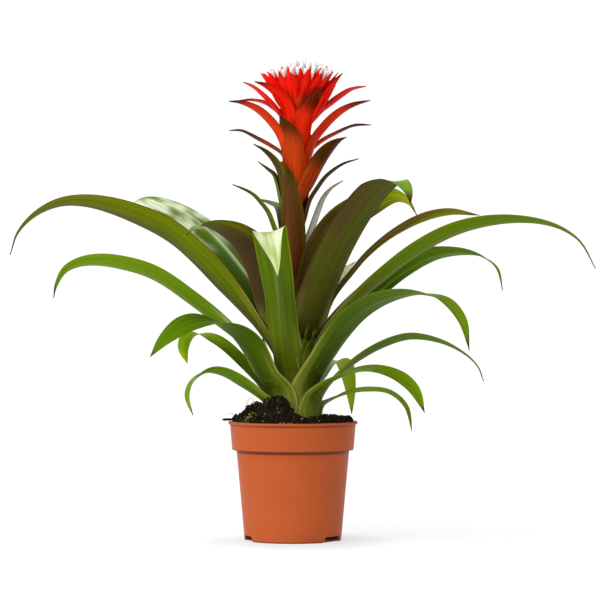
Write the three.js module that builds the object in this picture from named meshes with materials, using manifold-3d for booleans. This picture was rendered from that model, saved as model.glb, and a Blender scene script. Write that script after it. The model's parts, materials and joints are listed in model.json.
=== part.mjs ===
// A potted bromeliad: a rosette of arching strap leaves round a stalk that carries a red
// flower head, growing in potting mix in a terracotta-coloured plastic nursery pot.
//
// Millimetres, +Z up. The origin is the centre of the pot's flat base. The front of the
// plant looks along -Y, and azimuths are counted from +X towards +Y, so 270 is the front.

import * as THREE from 'three';
import { mergeVertices } from 'three/addons/utils/BufferGeometryUtils.js';
import Module from 'manifold-3d';

const wasm = await Module();
wasm.setup();

// ---------------------------------------------------------------- driving dimensions

const CLEARANCE = 0.35; // between pieces that rest on each other

const POT = {
  baseRadius: 44.8,
  neckRadius: 52.4, // just under the band
  bandBottomRadius: 56.4,
  bandTopRadius: 58.4,
  rimRadius: 60,
  bandBottom: 83.9,
  rimBottom: 108,
  height: 110.4,
  wall: 1.6,
  floor: 2,
  segments: 36,
};

const NOTCH = {
  azimuths: [-33, 82, 197], // drainage notches in the base's edge
  height: 5.3,
  innerRadius: 39,
  bottomWidth: 30,
  topWidth: 23,
};

const SOIL = {
  wallTop: 110, // how high the mix fills the pot's wall
  rimLevel: 112.5, // the level just inside the wall
  crownLevel: 114.5, // where it meets the plant
  holeFloor: 103,
  ringRadii: [32, 36, 40, 44, 48, 51.5, 54],
  seed: 41,
  roughness: 1.3,
};

// The heap of mix against the plant's foot, and the lower right side.
const SOIL_MOUNDS = [
  { azimuth: 243, radius: 37, height: 14, spread: 7 },
  { azimuth: 260, radius: 36, height: 14, spread: 7 },
  { azimuth: 196, radius: 35, height: 14, spread: 10.5 },
  { azimuth: 345, radius: 46, height: 2, spread: 12 },
];

const SHEATH = {
  firstRadius: 10.6, // middle of the innermost leaf's wall
  pitch: 1.4, // from one leaf's wall to the next one outside it
  step: 20, // degrees between the flats of a sheath
  topOfStem: 150, // the innermost leaf starts here
  footOfStem: 109, // and the outermost one here
  shortest: 6, // every leaf stands upright at least this far
};

const FINEST_DETAIL = 0.05; // cuts leave no facet smaller than this

const TRIM_CLEARANCE = 0.22; // round a piece that its neighbour is trimmed clear of

const LEAF_THICKNESS = { base: 1.05, tip: 0.75 };

// How a blade changes along its length, as shares of that length.
const BLADE = {
  openStart: 0.02, // the sheath's arc opens into the blade from here
  openEnd: 0.22,
  turnStart: 0.12, // it turns from its root's azimuth to its tip's
  turnEnd: 0.75,
  rollStart: 0.05,
  rollEnd: 0.38,
  twistStart: 0.5, // and twists and flattens towards its tip
  twistEnd: 1,
  thinStart: 0.1,
  thinEnd: 0.8,
  taperStart: 0.45,
  taperPower: 2.4,
  tipCup: 14, // degrees
  tipHalfWidth: 0.6,
};

const SCAPE = {
  footRadius: 8.4,
  shoulder: 8, // height over which the short stem narrows to the stalk
  topRadius: 7.6,
  narrowAt: 275,
  top: 306, // where the flower head stands on the stalk
};

// The stalk leans to the right, more and more towards the top.
const LEAN = { start: 230, end: 440, offset: 7.5, power: 1.6 };

const HEAD = {
  neckRadius: 7.6,
  neckMiddle: 350,
  neckTop: 392,
  cupRadius: 20,
  cupTop: 423.7,
  sides: 12,
};

const FLORETS = {
  count: 32,
  discRadius: 18.6,
  discSides: 20,
  discHeight: 3.2,
  shoulder: { radius: 0.8, height: 0.6 }, // shares of the disc's radius and height
  crown: 6, // how much higher the middle of the tuft stands
  length: 17,
  bodyRadius: 1.55,
  widestAt: 0.6, // share of its length
  tipRadius: 0.75,
  edgeGap: 0.8, // from the outermost florets to the disc's edge
  rootHeight: 0.6, // where they start, above the disc's underside
  sides: 4, // of each floret
  splay: 0.42, // outward lean of the outermost floret, in radians
  goldenAngle: 137.508,
};

const BRACT = {
  thickness: { base: 1.1, tip: 0.75 },
  rootDepth: 1.4, // how deep its root lies in the stalk
  rootSpan: 60, // half the angle that its root wraps round the stalk
  broad: 18.5, // a bract this wide or wider has one more facet across
  openEnd: 0.3,
  turnEnd: 0.9,
  taperStart: 0.55,
  tipCup: 40,
  stations: 6,
};

// Leaves from the innermost to the outermost. azimuth: where the leaf leaves the stem and
// where its tip points. top: height at which the upright sheath ends. path: the leaf's
// middle line from there, as [distance from the axis, height]. roll and twist turn the
// blade about that line, in degrees; cup is half the angle its cross-section bends through.
const LEAVES = [
  { name: 'leaf_01', azimuth: [-20, -30], top: 178, width: 46, roll: -24, twist: -26, cup: 28,
    taperStart: 0.38,
    path: [[22, 225], [33, 264], [54, 293], [83, 311], [104, 318], [120, 313], [130, 300]] },
  { name: 'leaf_02', azimuth: [80, 90], top: 178, width: 30, roll: 0, cup: 28, span: 40,
    path: [[24, 215], [38, 250], [62, 275], [92, 279], [122, 262]] },
  { name: 'leaf_03', azimuth: [240, 232], top: 175, width: 40, roll: 8, cup: 26,
    taperStart: 0.55,
    path: [[36, 220], [47, 245], [64, 269], [87, 283], [110, 289.5], [134, 290],
      [153, 281]] },
  { name: 'leaf_04', azimuth: [-60, -55], top: 172, width: 41, roll: 0, cup: 22,
    taperStart: 0.8, taperPower: 1.2,
    path: [[42, 222], [69, 262], [102, 299], [132, 321], [155, 328], [172, 322],
      [182, 311], [187, 298]] },
  { name: 'leaf_05', azimuth: [140, 135], top: 170, width: 40, roll: -30, cup: 26,
    path: [[40, 211], [74, 246], [110, 275], [148, 299], [186, 316], [212, 321], [232, 315]] },
  { name: 'leaf_06', azimuth: [20, 18], top: 170, width: 28, roll: -20, twist: -18, cup: 28,
    span: 40,
    path: [[30, 203], [42, 226], [59, 247], [75, 264.5], [100, 284], [128, 299],
      [155, 305.5], [186, 303.5]] },
  { name: 'leaf_07', azimuth: [180, 178], top: 165, width: 36, roll: 38, twist: -34, cup: 28,
    path: [[31, 193], [45, 211.5], [63, 234], [83, 256.5], [114, 283.5], [149, 301],
      [185, 312], [214, 313], [238, 303.5], [256, 286], [264, 265]] },
  { name: 'leaf_08', azimuth: [0, -4], top: 162, width: 27, roll: -28, twist: 18, cup: 26,
    path: [[32, 192], [50, 213.5], [80, 241], [114, 267.5], [150, 286.5], [185, 295],
      [220, 295.5], [247, 289], [266, 276], [280, 252]] },
  { name: 'leaf_09', azimuth: [40, 36], top: 160, width: 31, roll: 24, twist: -6, cup: 28,
    path: [[38, 180], [62, 203], [92, 226], [125, 248], [160, 264], [195, 269], [225, 266],
      [246, 254], [254, 232.5]] },
  { name: 'leaf_10', azimuth: [257.5, 263.5], top: 155, width: 32, roll: 8, cup: 55,
    tipCup: 22, turnStart: 0.72, turnEnd: 1, twistStart: 0.42, twistEnd: 0.7,
    taperStart: 0.8, taperPower: 0.9, stations: 24,
    path: [[40, 190], [58, 226], [78, 259], [96, 281], [103, 284], [109, 281], [113, 271],
      [116, 258], [118, 239]] },
  { name: 'leaf_11', azimuth: [100, 90], top: 155, width: 30, roll: 0, cup: 28, span: 40,
    path: [[36, 185], [52, 212], [74, 232], [100, 236], [120, 222]] },
  { name: 'leaf_12', azimuth: [60, 55], top: 152, width: 24, roll: 0, cup: 26, span: 40,
    path: [[34, 180], [46, 208], [60, 228], [74, 242], [88, 252], [104, 260]] },
  { name: 'leaf_13', azimuth: [180, 188], top: 148, width: 29, roll: 26, twist: 2, cup: 26,
    taperStart: 0.6,
    path: [[42, 177], [62, 196], [95, 222.5], [130, 246], [166, 257], [192, 258],
      [210, 251], [219, 237], [222, 225]] },
  { name: 'leaf_14', azimuth: [-40, -38], top: 140, width: 35, roll: -10, twist: 10, cup: 22,
    path: [[40, 172], [66, 201], [92, 217.5], [120, 226], [147, 228], [172, 222],
      [191, 204], [199, 178]] },
  { name: 'leaf_15', azimuth: [220, 218], top: 138, width: 34, roll: 9, twist: -37, cup: 24,
    twistStart: 0.35, twistEnd: 0.8,
    path: [[36, 156], [52, 181], [74, 197.5], [98, 204], [122, 200.5], [144, 188],
      [162, 172]] },
  { name: 'leaf_16', azimuth: [60, 60], top: 136, width: 22, roll: 0, cup: 24, span: 40,
    path: [[44, 148], [62, 160], [80, 165], [96, 162], [105, 149], [110, 134], [113, 113]] },
  { name: 'leaf_17', azimuth: [160, 158], top: 129, width: 22, roll: -14, twist: 60, cup: 26,
    span: 40, taperStart: 0.62, twistStart: 0.6,
    path: [[34, 146], [54, 166], [74, 182], [94, 190.5], [106, 188.5], [111, 178],
      [107.5, 163]] },
  { name: 'leaf_18', azimuth: [0, 5], top: 126, width: 20, roll: -20, twist: 12, cup: 24,
    span: 40,
    path: [[36, 146], [60, 166.5], [85, 180.5], [110, 187.5], [138, 183.5], [160, 173],
      [173, 161], [179, 147]] },
  { name: 'leaf_19', azimuth: [-40, -30], top: 124, width: 28, roll: 12, twist: 8, cup: 26,
    span: 40,
    path: [[31, 137], [51, 150.5], [80, 158.5], [107, 154], [126, 141.5], [138, 121]] },
  { name: 'leaf_20', azimuth: [200, 200], top: 125, width: 25, roll: 16, twist: -26, cup: 26,
    span: 40,
    path: [[31, 131.5], [50, 145], [68, 154.5], [84, 156.5], [97, 148.5], [102.5, 135],
      [97.5, 117]] },
  { name: 'leaf_21', azimuth: [100, 100], top: 124, width: 24, roll: 0, cup: 26, span: 40,
    path: [[31, 138], [45, 150], [66, 158], [86, 150], [98, 128]] },
  { name: 'leaf_22', azimuth: [20, 12], top: 119.5, width: 17, roll: -14, cup: 26, span: 40,
    path: [[31, 125.5], [50, 134.5], [70, 138], [92, 136], [108, 123], [114, 100]] },
];

// Bracts: the short leaves up the stalk. root: height at which one leaves the stalk;
// path: its middle line, as [distance from the stalk's axis, height].
const STALK_BRACTS = [
  { azimuth: [268, 247], root: 238, width: 29, cup: 62,
    path: [[10.5, 258], [12, 285], [13.5, 310], [16, 330], [22, 348]] },
  { azimuth: [195, 195], root: 255, width: 14, cup: 40,
    path: [[12, 272], [20, 289], [26, 303], [32, 311], [42, 321], [60, 330]] },
  { azimuth: [150, 150], root: 262, width: 19, cup: 40,
    path: [[11, 276], [14, 290], [19, 308], [28, 313], [41, 318]] },
  { azimuth: [170, 170], root: 284, width: 17, cup: 45,
    path: [[10.5, 298], [14, 313], [21, 338], [28, 345], [36, 352]] },
  { azimuth: [205, 205], root: 288, width: 19, cup: 45,
    path: [[10.5, 302], [13, 318], [17, 339], [23, 350], [33, 360], [44, 367]] },
  { azimuth: [25, 25], root: 262, width: 14, cup: 40,
    path: [[13, 274], [20, 289], [26, 306], [31, 318], [38, 327], [49, 335]] },
  { azimuth: [0, 10], root: 282, width: 16, cup: 45,
    path: [[11, 298], [15, 315], [22, 327], [30, 338], [44, 349], [59, 355]] },
  { azimuth: [95, 100], root: 250, width: 24, cup: 55,
    path: [[11, 268], [13, 290], [19, 312], [31, 328], [48, 336]] },
  { azimuth: [60, 55], root: 286, width: 20, cup: 50,
    path: [[11, 302], [14, 320], [21, 338], [33, 352], [50, 358]] },
  { azimuth: [120, 125], root: 290, width: 20, cup: 50,
    path: [[11, 305], [14, 325], [21, 345], [33, 360], [50, 366]] },
];

const HEAD_BRACTS = [
  { azimuth: [262, 236], root: 309, width: 27, cup: 58,
    path: [[10, 326], [12, 345], [15, 364], [20, 380], [30, 393]] },
  { azimuth: [-45, -45], root: 309, width: 24, cup: 52,
    path: [[13, 320], [21, 332], [30, 345], [40, 357], [52, 367], [64, 372]] },
  { azimuth: [175, 175], root: 334, width: 15, cup: 44,
    path: [[10, 347], [14, 358], [24, 365], [37, 372], [52, 380], [64, 381]] },
  { azimuth: [190, 190], root: 350, width: 27, cup: 48,
    path: [[12, 358], [17, 371], [23, 381], [32, 391], [42, 399], [55, 405], [66, 407]] },
  { azimuth: [160, 160], root: 372, width: 18, cup: 40,
    path: [[11, 384], [17, 394], [26, 401], [34, 406], [45, 409], [59, 410]] },
  { azimuth: [175, 175], root: 384, width: 21, cup: 40,
    path: [[15, 391], [24, 402], [33, 411], [43, 420], [53, 426]] },
  { azimuth: [215, 215], root: 366, width: 24, cup: 42,
    path: [[11, 380], [15, 396], [23, 409], [36, 418], [51, 424]] },
  { azimuth: [15, 15], root: 346, width: 14, cup: 44,
    path: [[11, 357], [18, 365], [27, 372], [38, 378], [53, 385], [71, 387]] },
  { azimuth: [-10, -10], root: 340, width: 27, cup: 48,
    path: [[12.5, 352], [18, 369], [28, 383], [40, 395], [52, 402.5], [67, 408]] },
  { azimuth: [15, 15], root: 380, width: 24, cup: 40,
    path: [[14, 388], [23, 398], [32, 405], [41, 412], [51, 419], [64, 423]] },
  { azimuth: [-15, -15], root: 384, width: 21, cup: 40,
    path: [[16, 392], [24, 403], [30, 414], [35, 425], [40, 433]] },
  { azimuth: [180, 180], root: 388, width: 15, cup: 40,
    path: [[14, 398], [22, 409], [29, 422], [37, 434]] },
  { azimuth: [288, 303], root: 352, width: 23, cup: 50,
    path: [[10.5, 368], [14, 384], [20, 399], [28, 411], [35, 419]] },
  { azimuth: [60, 60], root: 330, width: 18, cup: 46,
    path: [[11, 345], [16, 362], [26, 376], [42, 386], [60, 388]] },
  { azimuth: [110, 110], root: 334, width: 20, cup: 48,
    path: [[11, 350], [15, 368], [24, 384], [38, 396], [56, 401]] },
  { azimuth: [85, 85], root: 362, width: 18, cup: 44,
    path: [[11, 376], [18, 392], [28, 404], [43, 413], [58, 416]] },
  { azimuth: [130, 130], root: 378, width: 16, cup: 42,
    path: [[13, 390], [21, 403], [31, 414], [44, 422], [55, 425]] },
  { azimuth: [45, 45], root: 380, width: 16, cup: 42,
    path: [[13, 392], [20, 404], [28, 414], [38, 421], [47, 424]] },
];

// The close ring of upright bracts that holds the florets like a cup.
const CUP_BRACTS = {
  count: 13,
  holder: 11.6, // radius of the cup at their roots
  root: 400,
  width: 13,
  cup: 34,
  path: [[17, 410], [24, 418], [29, 426], [33.5, 433.5]],
  heightSpread: 5,
  reachSpread: 3,
  seed: 7,
};

const COLOURS = {
  pot: 0xc4602f,
  soil: 0x2b1f17,
  stalk: 0x5f2f22,
  flowerHead: 0xd42a12,
  florets: 0xf2e4d2,
  leaf: 0x5c8a24,
  darkLeaf: 0x4c4a22,
};

const DARK_LEAVES = ['leaf_01', 'leaf_03', 'leaf_04', 'leaf_06', 'leaf_07'];

// ---------------------------------------------------------------- small helpers

const radians = THREE.MathUtils.degToRad;
const clamp = THREE.MathUtils.clamp;

/** 0 below `from`, 1 above `to`, and an even S between. */
function ease(from, to, value) {
  const x = clamp((value - from) / (to - from), 0, 1);
  return x * x * (3 - 2 * x);
}

/** A repeatable source of random numbers between 0 and 1. */
function seeded(seed) {
  let state = seed;
  return () => {
    state = (state * 48271) % 2147483647;
    return state / 2147483647;
  };
}

/** A solid from a closed geometry. */
function toSolid(geometry) {
  const bare = geometry.clone();
  bare.deleteAttribute('normal');
  bare.deleteAttribute('uv');
  const merged = mergeVertices(bare, 1e-4);
  return new wasm.Manifold(new wasm.Mesh({
    numProp: 3,
    vertProperties: new Float32Array(merged.attributes.position.array),
    triVerts: new Uint32Array(merged.index.array),
  }));
}

function toGeometry(solid) {
  const mesh = solid.getMesh();
  const geometry = new THREE.BufferGeometry();
  geometry.setAttribute('position', new THREE.BufferAttribute(mesh.vertProperties, 3));
  geometry.setIndex(new THREE.BufferAttribute(mesh.triVerts, 1));
  geometry.computeVertexNormals();
  return geometry;
}

/** The largest body of a solid, without scraps that a cut has loosened. */
function mainBody(solid) {
  const bodies = solid.simplify(FINEST_DETAIL).decompose();
  return bodies.reduce((a, b) => (a.volume() > b.volume() ? a : b));
}

function union(solids) {
  return solids.reduce((whole, solid) => whole.add(solid));
}

/** A point of a smooth curve through [distance, height] points, for t from 0 to 1. */
function pathPoint(points, t) {
  const runs = [0];
  for (let i = 1; i < points.length; i += 1) {
    const [dx, dy] = [points[i][0] - points[i - 1][0], points[i][1] - points[i - 1][1]];
    runs.push(runs[i - 1] + Math.hypot(dx, dy));
  }
  const at = runs.map((run) => run / runs[runs.length - 1]);
  const last = points.length - 1;
  const slope = (i, k) => {
    const [a, b] = [Math.max(i - 1, 0), Math.min(i + 1, last)];
    return (points[b][k] - points[a][k]) / (at[b] - at[a]);
  };
  let i = 0;
  while (i < last - 1 && at[i + 1] <= t) i += 1;
  const span = at[i + 1] - at[i];
  const u = (t - at[i]) / span;
  return [0, 1].map((k) => (2 * u ** 3 - 3 * u ** 2 + 1) * points[i][k]
    + (u ** 3 - 2 * u ** 2 + u) * span * slope(i, k)
    + (3 * u ** 2 - 2 * u ** 3) * points[i + 1][k]
    + (u ** 3 - u ** 2) * span * slope(i + 1, k));
}

// ---------------------------------------------------------------- blades

/**
 * A blade: a long thin solid along a curve in the plane of its azimuth. Its cross-section
 * is an arc, which starts as part of a tube round the axis and opens into the blade.
 */
function bladeGeometry(spec) {
  const { stations, across } = spec;
  const rows = [];
  for (let i = 0; i < stations; i += 1) rows.push(bladePoint(spec, i / (stations - 1)));
  const tangents = rows.map((row, i) => new THREE.Vector3().subVectors(
    rows[Math.min(i + 1, stations - 1)].centre, rows[Math.max(i - 1, 0)].centre).normalize());
  const positions = [];
  rows.forEach((row, i) => {
    const tangent = tangents[i];
    const side = new THREE.Vector3(-Math.sin(row.azimuth), Math.cos(row.azimuth), 0);
    side.addScaledVector(tangent, -side.dot(tangent)).normalize();
    const up = new THREE.Vector3().crossVectors(tangent, side);
    side.applyAxisAngle(tangent, row.roll);
    up.applyAxisAngle(tangent, row.roll);
    const bend = row.halfWidth / row.cup;
    for (const face of [0.5, -0.5]) {
      for (let j = 0; j < across; j += 1) {
        const angle = row.cup * ((2 * j) / (across - 1) - 1);
        const offset = face * row.thickness;
        const point = row.centre.clone()
          .addScaledVector(side, (bend - offset) * Math.sin(angle))
          .addScaledVector(up, bend - (bend - offset) * Math.cos(angle));
        positions.push(...point.toArray());
      }
    }
  });
  const geometry = new THREE.BufferGeometry();
  geometry.setAttribute('position', new THREE.Float32BufferAttribute(positions, 3));
  geometry.setIndex(bladeFaces(stations, across));
  return geometry;
}

/** Where the blade is at t, and its half-width, cup angle, roll and thickness there. */
function bladePoint(spec, t) {
  const [reach, height] = pathPoint(spec.points, t);
  const [base, tip] = spec.azimuth;
  const turned = ease(spec.turnStart ?? BLADE.turnStart, spec.turnEnd ?? BLADE.turnEnd, t);
  const azimuth = radians(base + (tip - base) * turned);
  const opened = ease(BLADE.openStart, spec.openEnd ?? BLADE.openEnd, t);
  const rootCup = radians(spec.span);
  const midCup = radians(spec.cup);
  const tipCup = radians(spec.tipCup ?? BLADE.tipCup);
  const taperStart = spec.taperStart ?? BLADE.taperStart;
  const narrowing = clamp((t - taperStart) / (1 - taperStart), 0, 1);
  const blade = (spec.width / 2) * (1 - narrowing ** (spec.taperPower ?? BLADE.taperPower));
  const root = spec.rootRadius * rootCup;
  const grow = spec.grow ?? 0;
  const halfWidth = Math.max(root + (blade - root) * opened, BLADE.tipHalfWidth);
  const rolled = ease(BLADE.rollStart, BLADE.rollEnd, t);
  const twisted = ease(spec.twistStart ?? BLADE.twistStart, spec.twistEnd ?? BLADE.twistEnd, t);
  const cup = rootCup + (midCup - rootCup) * opened + (tipCup - midCup) * twisted;
  const thickness = THREE.MathUtils.lerp(
    spec.thickness.base, spec.thickness.tip, ease(BLADE.thinStart, BLADE.thinEnd, t));
  return {
    azimuth,
    centre: new THREE.Vector3(reach * Math.cos(azimuth), reach * Math.sin(azimuth), height),
    halfWidth: halfWidth + grow,
    cup: (cup * (halfWidth + grow)) / halfWidth,
    roll: radians((spec.roll ?? 0) * rolled + (spec.twist ?? 0) * twisted),
    thickness: thickness + 2 * grow,
  };
}

/** Triangles of a blade, split alike on both faces so that the faces never cross. */
function bladeFaces(stations, across) {
  const upper = (i, j) => 2 * across * i + j;
  const lower = (i, j) => upper(i, j) + across;
  const faces = [];
  for (let i = 0; i + 1 < stations; i += 1) {
    for (let j = 0; j + 1 < across; j += 1) {
      faces.push(upper(i, j), upper(i + 1, j), upper(i + 1, j + 1));
      faces.push(upper(i, j), upper(i + 1, j + 1), upper(i, j + 1));
      faces.push(lower(i, j), lower(i + 1, j + 1), lower(i + 1, j));
      faces.push(lower(i, j), lower(i, j + 1), lower(i + 1, j + 1));
    }
    const edge = across - 1;
    faces.push(upper(i, 0), lower(i, 0), lower(i + 1, 0));
    faces.push(upper(i, 0), lower(i + 1, 0), upper(i + 1, 0));
    faces.push(upper(i, edge), lower(i + 1, edge), lower(i, edge));
    faces.push(upper(i, edge), upper(i + 1, edge), lower(i + 1, edge));
  }
  const end = stations - 1;
  for (let j = 0; j + 1 < across; j += 1) {
    faces.push(upper(0, j), upper(0, j + 1), lower(0, j + 1));
    faces.push(upper(0, j), lower(0, j + 1), lower(0, j));
    faces.push(upper(end, j), lower(end, j + 1), upper(end, j + 1));
    faces.push(upper(end, j), lower(end, j), lower(end, j + 1));
  }
  return faces;
}

// ---------------------------------------------------------------- leaves

/** Degrees between two azimuths, the short way round. */
function apart(a, b) {
  return Math.abs(((((a - b) % 360) + 540) % 360) - 180);
}

/** Radius of each leaf's sheath: just outside every leaf inside it that it overlaps. */
function sheathRadii() {
  const radii = [];
  LEAVES.forEach((leaf, i) => {
    let radius = SHEATH.firstRadius;
    LEAVES.slice(0, i).forEach((inner, k) => {
      const reach = (leaf.span ?? 60) + (inner.span ?? 60) + SHEATH.step / 2;
      const overlaps = apart(leaf.azimuth[0], inner.azimuth[0]) < reach;
      if (overlaps) radius = Math.max(radius, radii[k] + SHEATH.pitch);
    });
    radii.push(radius);
  });
  return radii;
}

const RADII = sheathRadii();
const OUTER_RADIUS = Math.max(...RADII);

/** Height at which the short stem is as thick as a sheath of this radius is wide inside. */
function sheathFoot(radius) {
  const share = (radius - SHEATH.firstRadius) / (OUTER_RADIUS - SHEATH.firstRadius);
  return THREE.MathUtils.lerp(SHEATH.topOfStem, SHEATH.footOfStem, share);
}

function leafSpec(leaf, radius, grow) {
  const foot = sheathFoot(radius);
  const points = [[radius, foot], [radius, Math.max(leaf.top, foot + SHEATH.shortest)], ...leaf.path];
  const span = leaf.span ?? 60;
  return {
    ...leaf,
    span,
    points,
    grow,
    rootRadius: radius,
    across: (2 * span) / SHEATH.step + 1,
    stations: leaf.stations ?? leaf.path.length + (span > 50 ? 5 : 4),
    thickness: LEAF_THICKNESS,
  };
}

/** Every leaf as a solid; one that would cross a leaf inside it is trimmed clear of it. */
function leafSolids() {
  const solids = [];
  const kept = [];
  LEAVES.forEach((leaf, i) => {
    let solid = toSolid(bladeGeometry(leafSpec(leaf, RADII[i], 0)));
    for (const inner of kept) {
      if (solid.intersect(inner).volume() > 0) solid = mainBody(solid.subtract(inner));
    }
    solids.push(solid);
    kept.push(toSolid(bladeGeometry(leafSpec(leaf, RADII[i], TRIM_CLEARANCE))));
  });
  return solids;
}

// ---------------------------------------------------------------- stalk and flower head

/** Moves a geometry's points to the leaning axis of the stalk. */
function lean(geometry) {
  const position = geometry.attributes.position;
  for (let i = 0; i < position.count; i += 1) {
    const rise = clamp((position.getZ(i) - LEAN.start) / (LEAN.end - LEAN.start), 0, 2);
    position.setX(i, position.getX(i) + LEAN.offset * rise ** LEAN.power);
  }
  return geometry;
}

/** A turned solid about Z from [radius, height] points, with a corner on +X. */
function lathe(profile, sides) {
  const outline = profile.map(([radius, height]) => new THREE.Vector2(radius, height));
  return new THREE.LatheGeometry(outline, sides).rotateX(Math.PI / 2).rotateZ(Math.PI / 2);
}

function bractSolid(bract, holder, grow = 0) {
  const root = holder - BRACT.rootDepth;
  const spec = {
    ...BRACT,
    ...bract,
    span: BRACT.rootSpan,
    points: [[root, bract.root], ...bract.path],
    rootRadius: root,
    grow,
    across: bract.width < BRACT.broad ? 3 : 4,
  };
  return toSolid(lean(bladeGeometry(spec)));
}

function stalkSolid() {
  const stemRadius = (z) => {
    const share = (SHEATH.topOfStem - z) / (SHEATH.topOfStem - SHEATH.footOfStem);
    const middle = THREE.MathUtils.lerp(SHEATH.firstRadius, OUTER_RADIUS, share);
    return middle - LEAF_THICKNESS.base / 2 - CLEARANCE - 2 * FINEST_DETAIL;
  };
  const profile = [
    [0, SOIL.holeFloor + CLEARANCE],
    [stemRadius(SHEATH.footOfStem), SOIL.holeFloor + CLEARANCE],
    [stemRadius(SHEATH.footOfStem), SHEATH.footOfStem],
    [stemRadius(SHEATH.topOfStem), SHEATH.topOfStem],
    [SCAPE.footRadius, SHEATH.topOfStem + SCAPE.shoulder],
    [SCAPE.footRadius, LEAN.start],
    [SCAPE.topRadius, SCAPE.narrowAt],
    [SCAPE.topRadius, SCAPE.top],
    [0, SCAPE.top],
  ];
  const axis = toSolid(lean(lathe(profile, 360 / SHEATH.step)));
  return mainBody(union([axis,
    ...STALK_BRACTS.map((bract) => bractSolid(bract, SCAPE.topRadius))]));
}

function cupBracts() {
  const random = seeded(CUP_BRACTS.seed);
  return Array.from({ length: CUP_BRACTS.count }, (_, i) => {
    const azimuth = (360 * (i + 0.3 * random())) / CUP_BRACTS.count;
    const higher = CUP_BRACTS.heightSpread * (random() - 0.5);
    const wider = CUP_BRACTS.reachSpread * (random() - 0.5);
    const path = CUP_BRACTS.path.map(([reach, height], k) => {
      const share = k / (CUP_BRACTS.path.length - 1);
      return [reach + wider * share, height + higher * share];
    });
    return { azimuth: [azimuth, azimuth], root: CUP_BRACTS.root, width: CUP_BRACTS.width,
      cup: CUP_BRACTS.cup, path, stations: 5 };
  });
}

function headSolid() {
  const bottom = SCAPE.top + CLEARANCE;
  const core = toSolid(lean(lathe([
    [0, bottom],
    [HEAD.neckRadius, bottom],
    [HEAD.neckRadius, HEAD.neckMiddle],
    [HEAD.neckRadius, HEAD.neckTop],
    [HEAD.cupRadius, HEAD.cupTop],
    [0, HEAD.cupTop],
  ], HEAD.sides)));
  const bracts = HEAD_BRACTS.map((bract) => bractSolid(bract, HEAD.neckRadius));
  const ring = cupBracts().map((bract) => bractSolid(bract, CUP_BRACTS.holder));
  const whole = union([core, ...bracts, ...ring]);
  const below = STALK_BRACTS.map(
    (bract) => bractSolid(bract, SCAPE.topRadius, TRIM_CLEARANCE));
  return mainBody(whole.subtract(union(below)));
}

function leanAt(height) {
  const rise = clamp((height - LEAN.start) / (LEAN.end - LEAN.start), 0, 2);
  return LEAN.offset * rise ** LEAN.power;
}

/** White-tipped florets on a low disc, spaced as the seeds of a sunflower are. */
function floretsSolid() {
  const { shoulder } = FLORETS;
  const foot = HEAD.cupTop + CLEARANCE;
  const disc = toSolid(lathe([
    [0, foot],
    [FLORETS.discRadius, foot],
    [FLORETS.discRadius * shoulder.radius, foot + FLORETS.discHeight * shoulder.height],
    [0, foot + FLORETS.discHeight],
  ], FLORETS.discSides));
  const florets = Array.from({ length: FLORETS.count }, (_, i) => {
    const share = Math.sqrt((i + 0.5) / FLORETS.count);
    const radius = share * (FLORETS.discRadius - FLORETS.bodyRadius - FLORETS.edgeGap);
    const azimuth = radians(i * FLORETS.goldenAngle);
    const height = FLORETS.length + FLORETS.crown * (1 - share ** 2);
    const floret = lathe([
      [0, 0],
      [FLORETS.bodyRadius, height * FLORETS.widestAt],
      [FLORETS.tipRadius, height],
      [0, height],
    ], FLORETS.sides);
    floret.rotateY(FLORETS.splay * share);
    floret.rotateZ(azimuth);
    floret.translate(radius * Math.cos(azimuth), radius * Math.sin(azimuth), 0);
    floret.translate(0, 0, foot + FLORETS.rootHeight);
    return toSolid(floret);
  });
  return mainBody(union([disc, ...florets])).translate([leanAt(HEAD.cupTop), 0, 0]);
}

// ---------------------------------------------------------------- pot and soil

function potInnerRadius(height) {
  const { baseRadius, neckRadius, bandBottom, wall } = POT;
  return baseRadius - wall + ((neckRadius - baseRadius) * height) / bandBottom;
}

const POT_INSIDE = [
  [potInnerRadius(POT.floor), POT.floor],
  [potInnerRadius(POT.bandBottom - POT.wall), POT.bandBottom - POT.wall],
  [POT.bandBottomRadius - POT.wall, POT.bandBottom + POT.wall],
  [POT.bandTopRadius - POT.wall, POT.height],
];

function potSolid() {
  const outside = [
    [0, 0],
    [POT.baseRadius, 0],
    [POT.neckRadius, POT.bandBottom],
    [POT.bandBottomRadius, POT.bandBottom],
    [POT.bandTopRadius, POT.rimBottom],
    [POT.rimRadius, POT.rimBottom],
    [POT.rimRadius, POT.height],
  ];
  const inside = [...POT_INSIDE].reverse();
  const shell = toSolid(lathe([...outside, ...inside, [0, POT.floor]], POT.segments));
  return shell.subtract(union(NOTCH.azimuths.map(notchSolid)));
}

/** A drainage notch: a slot with slanted sides, cut outwards through the foot's edge. */
function notchSolid(azimuth) {
  const outline = new THREE.Shape([
    new THREE.Vector2(-NOTCH.bottomWidth / 2, -CLEARANCE),
    new THREE.Vector2(NOTCH.bottomWidth / 2, -CLEARANCE),
    new THREE.Vector2(NOTCH.topWidth / 2, NOTCH.height),
    new THREE.Vector2(-NOTCH.topWidth / 2, NOTCH.height),
  ]);
  const depth = POT.neckRadius - NOTCH.innerRadius;
  const notch = new THREE.ExtrudeGeometry(outline, { depth, bevelEnabled: false });
  notch.rotateX(Math.PI / 2).rotateZ(Math.PI / 2);
  notch.translate(NOTCH.innerRadius, 0, 0).rotateZ(radians(azimuth));
  return toSolid(notch);
}

const SOIL_HOLE = OUTER_RADIUS + LEAF_THICKNESS.base / 2 + 2 * CLEARANCE;

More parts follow.
